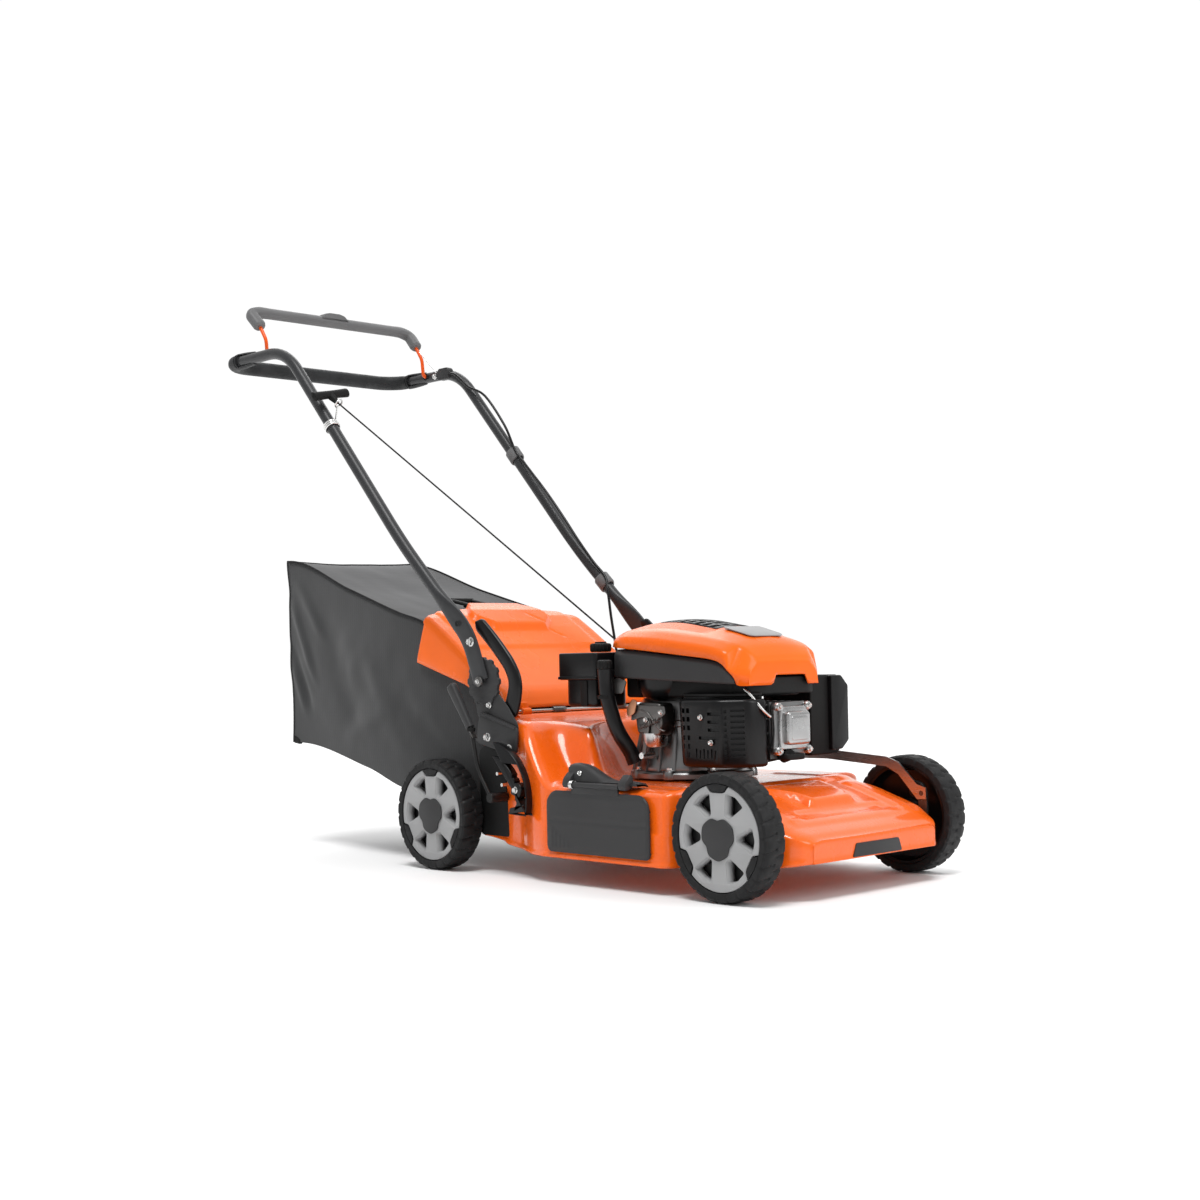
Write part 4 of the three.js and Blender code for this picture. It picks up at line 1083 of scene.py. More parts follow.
def make_bail():
    route = rounded(bail_wire_side(1) + bail_wire_side(-1)[::-1], 9, 6)
    wire = tube("bail_rod", route, 3.6, "bail_coat", "bail")
    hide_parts("bail_wire")
    cover_end = [(-916, BAIL_Y, 1036), (-921, BAIL_Y + 1, 1042), (-945, BAIL_Y + 4, 1066),
                 (-947, BAIL_Y - 18, 1073)]
    run = rounded(on_side(cover_end, 1) + on_side(cover_end, -1)[::-1], 10, 9)

    def section(angle, t):
        end = min(t, 1 - t)
        size = 12.2 - 1.3 * ramp(end, 0.1, 0.18) - 2.2 * ramp(end, 0.012, 0.0)
        reach = squarish(angle, 2.7)
        return (size * 0.92 * reach, size * reach)

    cover = from_bmesh(sweep(dense(run, 8), section, side=(1, 0, 0), count=28), "bail_cover",
                       "light_plastic", "bail", sharp=55)
    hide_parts("bail_bar")
    tab_outline = [(-32, 1078), (-24, 1088.5), (-12, 1091), (12, 1091), (24, 1088), (35, 1078)]
    plate("bail_tab", fillet(tab_outline, 2.5), -958, -936, "light_plastic", "bail", plane="yz", bevel=1.6)
    for name, side in SIDES.items():
        turned(f"bail_bush_{name}", [(3.8, 0), (7.2, 0), (7.6, side * 1.2), (6.8, side * 2.4),
                                     (3.8, side * 2.4)], (BAIL_X, side * 201, BAR_Z), "soot_plastic",
               "handle", steps=28)


make_bail()


def make_cable_end():
    """The cable's anchor on the left arm: a moulded saddle, a screw and the bare inner cable."""
    outline = [(-849, 960), (-845, 957), (-818, 957), (-812, 962), (-812, 976), (-818, 982), (-845, 982),
               (-849, 978)]
    saddle = plate("cable_anchor", fillet(outline, 3), 199, 214, "grey_plastic", "handle", bevel=1.8)
    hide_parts("cable_end_box")
    bolt("anchor_screw", (-864, 203.6, 968), (0, -1, 0), 5.2, "handle")
    turned("anchor_washer", [(2, -0.9), (6, -0.9), (6.3, 0), (2, 0)], (-864, 204.4, 968), "zinc", "handle",
           steps=28)
    inner = [(-914, 196, 1034), (-880, 198.5, 1000), (-853, 200, 974)]
    tube("inner_cable", rounded(inner, 20, 8), 0.7, "zinc", "handle")


make_cable_end()


def arm_stretch(z):
    """The arm's straight stretch that passes a height: its lower and its upper end."""
    return (ARM[1], ARM[2]) if z < ARM[2][1] else (ARM[2], ARM[3])


def arm_point(z):
    low, high = arm_stretch(z)
    t = (z - low[1]) / (high[1] - low[1])
    return low[0] + t * (high[0] - low[0])


def arm_direction(z):
    low, high = arm_stretch(z)
    return Vector((high[0] - low[0], 0, high[1] - low[1])).normalized()


def make_clip(name, z):
    """A moulded band round the left arm, with an ear that takes the cable."""
    ahead = arm_direction(z)
    centre = Vector((arm_point(z), ARM_Y, z))
    outward = ahead.cross(Vector((0, 1, 0)))
    outward = outward if outward.x > 0 else -outward
    across = ahead.cross(outward)
    turns = [TAU * k / 40 for k in range(40)]
    rows = []
    for w, grow in ((-14, -0.5), (-13.4, 1.2), (-11.5, 2.4), (11.5, 2.4), (13.4, 1.2), (14, -0.5)):
        row = []
        for a in turns:
            radius = 12.4 + grow + 3.2 * math.exp(-((a if a < math.pi else a - TAU) / 0.55) ** 2)
            tilt = across * math.sin(a) + outward * math.cos(a)
            row.append(centre + ahead * w + tilt * radius)
        rows.append(row)
    inner = [across * math.sin(a) + outward * math.cos(a) for a in turns]
    rows.append([centre + ahead * 11 + v * 11.1 for v in inner])
    rows.insert(0, [centre - ahead * 11 + v * 11.1 for v in inner])
    band = from_bmesh(wheel_round(rows), f"clip_band_{name}",
                      "light_plastic", "handle", sharp=45)
    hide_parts(f"cable_clip_{name}")


make_clip("upper", 773)
make_clip("lower", 503)


def make_starter_grip():
    """A T-shaped pull with a waisted bar and a tapered nose for the rope's knot."""
    start, end = Vector((-668, -245, 861)), Vector((-668, -163, 876))
    route = [start.lerp(end, t) for t in shares(30)]

    def section(angle, t):
        end_round = min(t, 1 - t)
        size = 8.6 + 1.3 * abs(2 * t - 1) ** 2.2
        size *= math.sqrt(max(0.02, 1 - max(0.0, 1 - end_round / 0.05) ** 2)) if end_round < 0.05 else 1
        return (size * 0.82, size * 1.02)

    bar = from_bmesh(sweep(route, section, side=(0.7, 0, 0.7), count=28), "starter_handle", "soot_plastic",
                     "starter_grip", sharp=50)
    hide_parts("starter_grip")
    nose_route = [(-669, -203.4, 868), (-661, -201.5, 860.5), (-656, -200.4, 856), (-651.6, -199.5, 852.2)]
    from_bmesh(sweep(catmull(nose_route, 5), lambda a, t: 8.6 + (4.6 - 8.6) * t), "starter_nose",
               "soot_plastic", "starter_grip")


def make_drawn_rope():
    """The rope's last stretch, inside the grip's nose at rest and drawn out of the guide by a pull."""
    knot = Vector((-657, -200.6, 857))
    route = [GUIDE_EYE.lerp(knot, t) for t in shares(60)]
    rope = tube("drawn_rope", route, 1.5, "rope", None)
    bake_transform(rope)


make_starter_grip()
make_drawn_rope()


def make_rope_guide():
    """A bent wire pigtail on the right arm, with its loop round the rope."""
    along_rope = (GUIDE_EYE - ROPE_EYE).normalized()
    sideways = Vector((0, 0, 1)).cross(along_rope).normalized()
    upward = along_rope.cross(sideways)
    centre = GUIDE_EYE - along_rope * 4
    loop = []
    for i in range(25):
        a = -math.pi / 2 + i / 24 * TAU * 0.97
        loop.append(centre + sideways * (8.2 * math.cos(a)) + upward * (8.2 * math.sin(a))
                    + along_rope * (i / 24 * 3.6))
    foot = loop[0]
    stem = [Vector((-664, -204, 800)), Vector((-660, -202, 806)), foot + Vector((-4, 0, -16)), foot]
    route = rounded(stem, 7, 6)[:-1] + loop
    wire = tube("pigtail_wire", route, 1.9, "zinc", "handle")
    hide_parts("rope_guide")
    z = 805
    ahead = arm_direction(z)
    normal = ahead.cross(Vector((0, 1, 0)))
    coil = []
    for i in range(73):
        a = TAU * i / 24 + 1.2
        centre = Vector((arm_point(z), -ARM_Y, z)) + ahead * (-6.5 + 13 * i / 72)
        coil.append(centre + normal * (13.2 * math.cos(a)) + Vector((0, 13.2 * math.sin(a), 0)))
    tube("pigtail_wrap", coil, 1.9, "zinc", "handle", count=12)


make_rope_guide()


# ---------- brackets, levers and clamps at the fold ----------
LOCK_X, LOCK_Z = -175, 270


def make_bracket(name, side):
    """A pressed back plate with a notched disc round the pivot and a bolted cover over its foot."""
    back_outline = fillet([(-242, 262), (-252, 300), (-225, 330), (-188, 302), (-164, 280), (-140, 250),
                           (-142, 214)], 6)
    back = plate(f"bracket_back_{name}", back_outline, *sides(side, 206, 208.6), "grey_plastic", bevel=0.8)
    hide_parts(f"handle_bracket_{name}")
    notched = []
    for i in range(168):
        a = TAU * i / 168
        bump = 0.5 + 0.5 * math.cos(12 * a)
        r = 38.4 + 3.2 * ramp(bump, 0.3, 0.75)
        notched.append((FOLD.x + r * math.cos(a), FOLD.z + r * math.sin(a)))
    plate(f"bracket_disc_{name}", notched, *sides(side, 205, 211.6), "grey_plastic", bevel=1.5, sharp=45)
    foot_outline = fillet([(-244, 222), (-236, 218), (-149, 199), (-141, 204), (-136, 241), (-142, 248),
                           (-224, 271), (-234, 266)], 7, 5)
    plate(f"bracket_foot_{name}", foot_outline, *sides(side, 208.8, 213.6), "grey_plastic", bevel=1.6)
    plate(f"bracket_lip_{name}", fillet([(-232, 266.5), (-141, 243), (-140, 247.5), (-230, 272)], 1.8),
          *sides(side, 210, 215.4), "grey_plastic", bevel=0.9)
    for index, (x, z) in enumerate(((-212, 229), (-157, 211))):
        bolt(f"bracket_bolt_{name}_{index + 1}", (x, side * 213.6, z), (0, side, 0), 7.4)
        turned(f"bracket_spacer_{name}_{index + 1}",
               box_outline(4, 8, side * 190, side * 208.8),
               (x, 0, z), "zinc", steps=24)
    bolt(f"lever_pivot_bolt_{name}", (-210, side * 210.6, 283), (0, side, 0), 5.6)
    turned(f"lever_post_{name}", box_outline(0.5, 4, side * 193, side * 206.4), (LOCK_X, 0, LOCK_Z), "zinc",
           steps=20)


def make_lock_lever(name, side):
    """A moulded lever, curved up beside the flap; the left one is thinner, to leave the cable room."""
    middle, half = (201, 3.9) if side > 0 else (198.6, 6.2)
    line = [(LOCK_X + 2, LOCK_Z - 6), (-160, 290), (-153, 322), (-168, 350), (-208, 390), (-250, 425)]
    route = rounded(on_side([(x, middle, z) for x, z in line], side), [24, 30, 24, 30], 8)

    def section(angle, t):
        end = min(t, 1 - t)
        size = 13.2 + 3.8 * ramp(t, 0.5, 0.05)
        if end < 0.06:
            size *= math.sqrt(max(0.05, 1 - (1 - end / 0.06) ** 2))
        reach = squarish(angle, 2.6)
        return (size * reach, half * reach)

    bm = sweep(dense(route, 5), section, side=(0.7, 0, -0.7), count=28)
    lever = from_bmesh(bm, f"lock_lever_arm_{name}", "black_plastic", f"lock_lever_{name}", sharp=55)
    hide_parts(f"lock_lever_{name}")


def make_clamp(name, side):
    """The clamp's round head on the pivot, with its bright pin."""
    head = turned(f"clamp_head_{name}", [(0.5, side * 219.4), (8.4, side * 219.4), (9, side * 220.4),
                                         (8.4, side * 222.4), (5.5, side * 223.4), (0.5, side * 223.6)],
                  (FOLD.x, 0, FOLD.z), "dark_steel", f"knob_{name}", steps=40)
    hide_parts(f"handle_knob_{name}")
    bolt(f"clamp_pin_{name}", (FOLD.x, side * 223.2, FOLD.z), (0, side, 0), 4.2, f"knob_{name}")


for side_name, side in SIDES.items():
    make_bracket(side_name, side)
    make_lock_lever(side_name, side)
    make_clamp(side_name, side)


# ---------- height lever ----------
def make_height_lever():
    grip_route = [(-231, -236, 246), (-242, -236, 262.5), (-262, -236, 292), (-281, -236, 320)]

    def section(angle, t):
        size = 7.4 + 1.9 * soften(t * 1.1)
        if t > 0.93:
            size *= math.sqrt(max(0.05, 1 - ((t - 0.93) / 0.07) ** 2))
        reach = squarish(angle, 3)
        return (size * reach, size * 0.82 * reach)

    grip = from_bmesh(sweep(catmull(grip_route, 10), section, side=(1, 0, 0), count=28), "height_grip",
                      "grey_plastic", "height_lever", sharp=50)
    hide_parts("height_lever_grip")
    turned("height_collar", [(3, -3), (7.2, -3), (7.6, 0), (7.2, 3), (3, 3)], (-229, -236, 243),
           "soot_plastic", "height_lever", axis="z", steps=28)
    spring = helix((-219, -236, 229), (-0.22, 0, 0.32), (0, 5.4, 0), (0, 0, 1.4), 0.9, 40)
    tube("height_spring", spring, 0.8, "dark_steel", "height_lever", count=8)
    rod = tube("height_rod", rounded([(-231, -236, 247), (-224, -236, 226), (-214, -236, 178),
                                      (-180, -236, 130)], [20, 30], 8), 3.4, "light_steel", "height_lever")
    turned("height_rod_root", [(0.5, -203), (8, -203), (8.6, -206), (8.6, -238), (7.6, -240), (0.5, -240)],
           (-180, 0, 130), "light_steel", "height_lever", steps=36)
    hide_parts("height_lever")


make_height_lever()


def make_quadrant():
    """The toothed arc that the height lever works against, moulded in one with its hooked foot."""
    centre = (-180, 130)
    outer = arc(centre, 93.5, -13, 84, 30)
    teeth = []
    for i in range(49):
        a = 83 - 96 * i / 48
        tooth = 3.4 * ramp(0.5 + 0.5 * math.cos(TAU * i / 8), 0.25, 0.7) * (1 if a < 34 else 0)
        r = 71 - tooth
        teeth.append((centre[0] + r * math.cos(math.radians(a)), centre[1] + r * math.sin(math.radians(a))))
    foot = [(-104.5, 119), (-126, 114.5), (-129, 107.5), (-90, 106)]
    shape = plate("quadrant_plate", outer[::-1] + teeth + foot, -240.4, -226, "black_plastic", bevel=1.6)
    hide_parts("height_quadrant")
    tab_outline = fillet([(-126, 139), (-104, 133), (-98, 150), (-107, 158), (-122, 157)], 4)
    plate("quadrant_tab", tab_outline, -240, -222.6, "black_plastic", bevel=1.4)
    bolt("quadrant_bolt", (-113, -240, 146), (0, -1, 0), 5.6)
    # A matt black plate behind the right rear wheel. It stands for the black parts there and also paints
    # the shade that falls between the wheel and the deck's wall.
    guard = fillet([(-252, 62), (-254, 204), (-240, 215), (-192, 215), (-180, 205), (-184, 150),
                    (-176, 62)], 7)
    plate("lever_guard_and_painted_shade", guard, -199, -192, "soot_plastic", bevel=1.2)
    for index, (x, z, length) in enumerate(((-192, 168, 20), (-178, 150, 16), (-188, 190, 14))):
        turned(f"lever_stud_{index + 1}", [(0.5, 0), (3.0, 0), (3.2, 1), (3.0, length), (0.5, length)],
               (x, -222 + length / 2, z), "zinc", steps=20)


make_quadrant()


# ---------- rear flap ----------
FLAP_W = 191
FLAP_EDGE = 190  # where the top's height and rear edge are read for the sides
FLAP_FRONT = -189
FLAP_TOP = [(-445, 450.5), (-420, 443.5), (-405, 437), (-370, 415.5), (-300, 369), (-209, 309), (-202, 302),
            (-196, 291), (-189, 277)]
FLAP_LOW = [(-435, 358), (-300, 318), (-206, 277), (-189, 276)]


def straight(table, x):
    """Reads straight lines through a table of pairs whose first column rises."""
    for a, b in zip(table, table[1:]):
        if x <= b[0]:
            t = max(0.0, (x - a[0]) / (b[0] - a[0]))
            return a[1] + (b[1] - a[1]) * t
    return table[-1][1]


def flap_rear(y):
    return -447 + 37 * (abs(y) / FLAP_EDGE) ** 2.2


def flap_height(x, y):
    z = straight(FLAP_TOP, x)
    reach = 64 + 28 * ramp(x, -362, -392) * ramp(x, -446, -396)
    lift = ramp(x, -356, -367) * ramp(abs(y), reach + 4, reach - 5)
    ledge = ramp(x, -312, -322) * ramp(abs(y), 158, 148)
    groove = ramp(abs(y - (x + 330) * 0.9 - 96), 5.5, 1.5) * ramp(x, -398, -388) * ramp(x, -336, -346)
    shell = z + 15 * lift + 4 * ledge * (1 - lift)
    channel = ramp(abs(x + 208), 9, 3) * ramp(abs(y), 176, 168)
    return shell - 2.0 * groove - 1.0 * channel


def make_flap():
    from_hinge = [0, 0.012, 0.03, 0.055, 0.08, 0.11]
    from_hinge += [0.11 + 0.89 * i / 110 for i in range(1, 111)]
    rows = []
    for u in from_hinge:
        row = []
        for side in (-1, 1):
            part = []
            for k in range(11):
                v = 1 - k / 10
                x = FLAP_FRONT + u * (flap_rear(FLAP_EDGE) - FLAP_FRONT) - 24 * v * u
                low = straight(FLAP_LOW, x)
                top = flap_height(x, side * FLAP_EDGE)
                radius = min(14, (top - low) * 0.8)
                part.append((x, side * (FLAP_W - 1.6 * ramp(v, 0.85, 1) * u),
                             low + (top - radius - low) * (1 - v)))
            x = FLAP_FRONT + u * (flap_rear(185) - FLAP_FRONT)
            top = flap_height(x, side * FLAP_EDGE)
            radius = min(14, (top - straight(FLAP_LOW, x)) * 0.8)
            for k in range(1, 7):
                a = math.radians(90 * k / 7)
                part.append((x, side * (FLAP_W - radius * (1 - math.cos(a))),
                             top - radius * (1 - math.sin(a))))
            row.append(part)
        middle = []
        for k in range(119):
            y = -177 + 354 * k / 118
            x = FLAP_FRONT + u * (flap_rear(y) - FLAP_FRONT)
            middle.append((x, y, flap_height(x, y)))
        rows.append(row[0] + middle + row[1][::-1])
    flap = from_bmesh(grid_bmesh(rows), "flap_shell", "orange_plastic", "rear_flap", sharp=50)
    thicken(flap, 2.8)
    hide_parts("rear_flap")
    for name, side in SIDES.items():
        turned(f"flap_knuckle_{name}", box_outline(3.2, 6.2, side * 140, side * 158), (-187, 0, 270.5),
               "orange_plastic", "rear_flap", steps=28)
        plate(f"flap_web_{name}", fillet([(-195, 272), (-188, 274), (-190, 286), (-198, 288)], 1.5),
              *sides(side, 141, 157), "orange_plastic", "rear_flap", bevel=0.6)
        spring = helix((-187, side * 60, 270.5), (0, side * 0.32, 0), (5.6, 0, 0), (0, 0, 5.6), 0.7, 90)
        tube(f"flap_spring_{name}", spring, 0.9, "dark_steel", count=8)
    # The slit through the flap is drawn as a thin matt black strip: painted shade in the opening.
    slit = plate("flap_slit_painted_shade", box_outline(-0.9, 0.9, 287, 300), -203.4, -196, "soot_plastic", "rear_flap",
                 plane="yz", bevel=0.1)
    for v in slit.data.vertices:
        z = v.co.z / MM
        v.co.x += (-(z - 287) * 0.42 + 3.4) * MM


make_flap()


# ---------- grass bag ----------
BAG_FRONT = -258
# x and height of the bag's top and bottom seams, x and half width at both
BAG_SEAM = [(-905, 564), (-668, 497), (-494, 447), (-418, 427), (-340, 349), (-258, 292)]
BAG_TOP_W = [(-905, 150), (-668, 165), (-494, 180), (-418, 183), (-340, 180), (-258, 176)]
BAG_BOTTOM = [(-880, 203), (-620, 162), (-490, 129), (-430, 124), (-258, 122)]
BAG_LOW_W = [(-880, 147), (-620, 166), (-430, 180), (-258, 174)]


def bag_reach(v):
    """The rear edge's place at a share of its height: a slight S."""
    wave = 3.5 * math.sin(v * 7.5) - 4 * ramp(v, 0.3, 0.5) * ramp(v, 0.55, 0.4)
    return -894 - 11 * ramp(v, 0.8, 1) + wave


def fold(u, v, start, end, width):
    """A soft ridge along a line on a panel, in shares of the panel's sides."""
    ax, ay = start
    bx, by = end
    length = math.hypot(bx - ax, by - ay)
    t = ((u - ax) * (bx - ax) + (v - ay) * (by - ay)) / length ** 2
    across = ((u - ax) * (by - ay) - (v - ay) * (bx - ax)) / length
    return math.exp(-(across / width) ** 2) * ramp(t, -0.15, 0.3) * ramp(t, 1.15, 0.7)


SIDE_FOLDS = [  # share along from the front, share up, at both ends; width; height in mm
    ((0.985, 0.78), (0.86, 0.36), 0.020, 5.0), ((0.99, 0.55), (0.90, 0.20), 0.017, -4.0),
    ((0.97, 0.92), (0.80, 0.62), 0.030, 4.0), ((0.93, 0.16), (0.99, 0.42), 0.016, 3.5),
    ((0.55, 0.70), (0.38, 0.20), 0.06, 3.5), ((0.78, 0.80), (0.62, 0.16), 0.07, -5.0),
    ((0.40, 0.55), (0.20, 0.30), 0.05, -3.0), ((0.68, 0.10), (0.45, 0.42), 0.04, 3.0),
]


def ripple(point, size, seed):
    return noise.noise(Vector(point) / size + Vector((seed, 2 * seed, 0)))


def bag_side_point(u, v, side):
    """A side panel: u from the mouth to the rear, v from the bottom seam to the top seam."""
    x = BAG_FRONT + u * (bag_reach(v) - BAG_FRONT)
    low, high = along(BAG_BOTTOM, x, 1), along(BAG_SEAM, x, 1)
    z = low + (high - low) * v
    width = along(BAG_LOW_W, x, 1) + (along(BAG_TOP_W, x, 1) - along(BAG_LOW_W, x, 1)) * v
    free = math.sin(math.pi * min(1, max(0, v))) ** 0.8 * math.sin(math.pi * min(1.0, max(0.0, u))) ** 0.6
    swell = 5.5 * free * ramp(u, 0.25, 0.6)
    for start, end, width_share, height in SIDE_FOLDS:
        swell += height * fold(u, v, start, end, width_share) * min(1.0, 4 * v, 4 * (1 - v))
    swell += 3.5 * free * ripple((x, 0, z), 110, 3 + side) + 1.2 * free * ripple((x, 0, z), 38, 7 + side)
    width = min(width + swell, 186 if x > -420 else 192)
    return (x, side * width, z - 1.5 * free)


def bag_lid_point(u, w):
    """The lid: w from -1 on the near seam to 1 on the far seam."""
    near, far = bag_side_point(u, 1, -1), bag_side_point(u, 1, 1)
    t = (w + 1) / 2
    x = near[0] + (far[0] - near[0]) * t
    y = near[1] + (far[1] - near[1]) * t
    z = near[2] + (far[2] - near[2]) * t
    free = (1 - w * w) * math.sin(math.pi * min(1.0, u * 0.93)) ** 0.7
    sag = 6.5 * free * ramp(u, 0.25, 0.5) - 5 * ramp(u, 0.34, 0.2) * (1 - w * w)
    end_sag = 1.5 * (1 - w * w) * ramp(u, 0.86, 1)
    bump = 3.2 * free * ripple((x, y, 0), 90, 11) + 1.4 * free * ripple((x * 0.4, y, 0), 36, 13)
    return (x, y, z - sag - end_sag + bump)


def bag_rear_point(w, v):
    near, far = bag_side_point(1, v, -1), bag_side_point(1, v, 1)
    t = (w + 1) / 2
    free = (1 - w * w) * math.sin(math.pi * v)
    drop = (bag_lid_point(1, w)[2] - bag_side_point(1, 1, -1)[2]) * v
    x = near[0] - 11 * free - 3 * free * ripple((0, w * 150, v * 360), 70, 17)
    near_fold = fold(t, v, (0.2, 0.95), (0.35, 0.3), 0.05)
    x -= 2.5 * near_fold + 2.5 * fold(t, v, (0.8, 0.95), (0.62, 0.25), 0.05)
    return (x, near[1] + (far[1] - near[1]) * t, near[2] + (far[2] - near[2]) * t + drop)


def bag_bottom_point(u, w):
    near, far = bag_side_point(u, 0, -1), bag_side_point(u, 0, 1)
    t = (w + 1) / 2
    free = (1 - w * w) * math.sin(math.pi * u)
    z = near[2] - 5 * free + 2 * free * ripple((near[0], w * 160, 0), 80, 23)
    return (near[0], near[1] + (far[1] - near[1]) * t, z)


def make_bag():
    bm = bmesh.new()
    for side in (-1, 1):
        grid_bmesh([[bag_side_point(u, v, side) for v in shares(44)] for u in shares(84)], bm=bm)
    grid_bmesh([[bag_rear_point(2 * t - 1, v) for v in shares(44)] for t in shares(40)], bm=bm)
    grid_bmesh([[bag_bottom_point(u, 2 * t - 1) for t in shares(40)] for u in shares(84)], bm=bm)
    shell = from_bmesh(bm, "bag_cloth_shell", "fabric", "grass_bag", sharp=62)
    lid_rows = [[bag_lid_point(u, 2 * t - 1) for t in shares(40)] for u in shares(84)]
    lid = from_bmesh(grid_bmesh(lid_rows), "bag_cloth_lid", "lid_fabric", "grass_bag", sharp=62)
    for piece in (shell, lid):
        thicken(piece, 1.1)
    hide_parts("grass_bag")
    for name, side in SIDES.items():
        seam = [Vector(bag_side_point(u, 1, side)) + Vector((0, side * 0.8, 0.8)) for u in shares(60)]
        tube(f"bag_piping_{name}", seam, 2.1, "piping", "grass_bag", count=10)
        upright = [Vector(bag_side_point(1, v, side)) + Vector((-0.8, side * 0.8, 0)) for v in shares(44)]
        tube(f"bag_edge_{name}", upright, 1.7, "fabric", "grass_bag", count=10)
        corner = Vector(bag_side_point(1, 0, side))
        patch_points = [(corner.x - 1.5, corner.z - 1), (corner.x + 20, corner.z - 4),
                        (corner.x + 22, corner.z + 5), (corner.x + 8, corner.z + 12),
                        (corner.x - 1.5, corner.z + 13)]
        plate(f"bag_corner_{name}", fillet(patch_points, 4),
              *sorted((corner.y - side * 6, corner.y + side * 1.2)), "soot_plastic", "grass_bag", bevel=1.4)
    ridge = [Vector(bag_lid_point(1, 2 * t - 1)) + Vector((-0.8, 0, 0.6)) for t in shares(40)]
    tube("bag_piping_rear", ridge, 2.1, "piping", "grass_bag", count=10)
    corners = [(-170, 126), (170, 126), (173, 130), (173, 284), (166, 290), (-166, 290), (-173, 284),
               (-173, 130)]
    mouth = [Vector((BAG_FRONT - 1, y, z)) for y, z in corners]
    loop = [mouth[i].lerp(mouth[(i + 1) % 8], k / 6) for i in range(8) for k in range(6)]
    loop.append(loop[0])
    from_bmesh(sweep(loop, lambda a, t: (4.2, 3.2), count=12), "bag_mouth_frame", "soot_plastic",
               "grass_bag")
    for index, y in enumerate((-25, 25)):
        rail = rounded([(-436, y, 438), (-448, y, 456), (-500, y, 466), (-545, y, 475), (-556, y, 462)],
                       [10, 26, 12], 6)
        from_bmesh(sweep(rail, lambda a, t: (5.2, 3.6), side=(0, 1, 0)), f"bag_handle_rail_{index + 1}",
                   "soot_plastic", "grass_bag")
    tube("bag_handle_grip", [(-538, -27, 473), (-538, 27, 473)], 5.5, "soot_plastic", "grass_bag")


make_bag()


# ---------- engine ----------
def carve(piece, cutter):
    """Cuts the shapes of a bmesh, in millimetres of the design frame, out of a piece."""
    for v in cutter.verts:
        v.co = at(*v.co)
    bmesh.ops.recalc_face_normals(cutter, faces=cutter.faces)
    cutter_mesh = bpy.data.meshes.new("cutter")
    cutter.to_mesh(cutter_mesh)
    cutter.free()
    holder = link("cutter", cutter_mesh)
    cut = piece.modifiers.new("cut", "BOOLEAN")
    cut.operation = "DIFFERENCE"
    cut.solver = "EXACT"
    cut.object = holder
    bpy.context.view_layer.update()
    carved = bpy.data.meshes.new_from_object(piece.evaluated_get(bpy.context.evaluated_depsgraph_get()))
    piece.modifiers.remove(cut)
    old = piece.data
    piece.data = carved
    bpy.data.meshes.remove(old)
    bpy.data.objects.remove(holder)
    bpy.data.meshes.remove(cutter_mesh)
    carved.set_sharp_from_angle(angle=math.radians(35))


HOOD = [  # x, half width at the foot, foot, half width of the top, height of the top
    (-22, 98, 377, 84, 385), (-18, 103, 376.5, 90, 391), (-10, 109, 376, 95, 396),
    (24, 126, 374, 102, 402.5),
    (60, 125, 371, 100, 402), (150, 120, 361, 93, 393), (205, 115.5, 354.5, 87, 384),
    (222, 114, 350.5, 84.5, 380),
    (232, 112.5, 345, 83, 377), (240, 108.5, 336, 81, 373.5), (247, 102, 325, 78, 369.5),
    (251, 98, 312, 75, 366),
    (256, 92, 311, 71, 360.5), (260, 87.5, 311, 67, 354.5), (262, 84.5, 311, 63, 349),
]
CROWN = [  # x, rise of the middle over the flat top
    (-22, 3), (-10, 9), (24, 14), (60, 17), (100, 18), (150, 16), (205, 12.5), (228, 10), (247, 6),
    (262, 1),
]
GRILLE_X, GRILLE_Y = (40, 168), 52


def hood_top(x, y):
    """The height of the crowned top."""
    wide = along(HOOD, x, 3)
    return along(HOOD, x, 4) + along(CROWN, x, 1) * max(0.0, 1 - (y / wide) ** 2)


def hood_ring(x):
    """Half a section of the hood, from its foot up to the edge of the flat top."""
    foot_w, foot = along(HOOD, x, 1), along(HOOD, x, 2)
    top_w, top = along(HOOD, x, 3), along(HOOD, x, 4)
    shoulder = foot + (top - foot) * 0.6 if x < 240 else 340 - (x - 240) * 0.3
    shoulder_w = foot_w - (foot_w - top_w) * 0.17
    return fillet_open([(foot_w, foot), (shoulder_w, shoulder), (top_w, top),
                        (GRILLE_Y, hood_top(x, GRILLE_Y))], [5, 7])


def notch_height(y):
    """The front edge of the hood, with a shallow opening in its middle."""
    return 311 + 15.5 * ramp(y, -29, -19) * ramp(y, 61, 51)


def hood_section(x):
    half = hood_ring(x)
    ys = [-GRILLE_Y + 2 * GRILLE_Y * k / 16 for k in range(1, 16)]
    across = [(y, hood_top(x, y)) for y in ys]
    return [(x, -y, z) for y, z in half] + [(x, y, z) for y, z in across + half[::-1]]


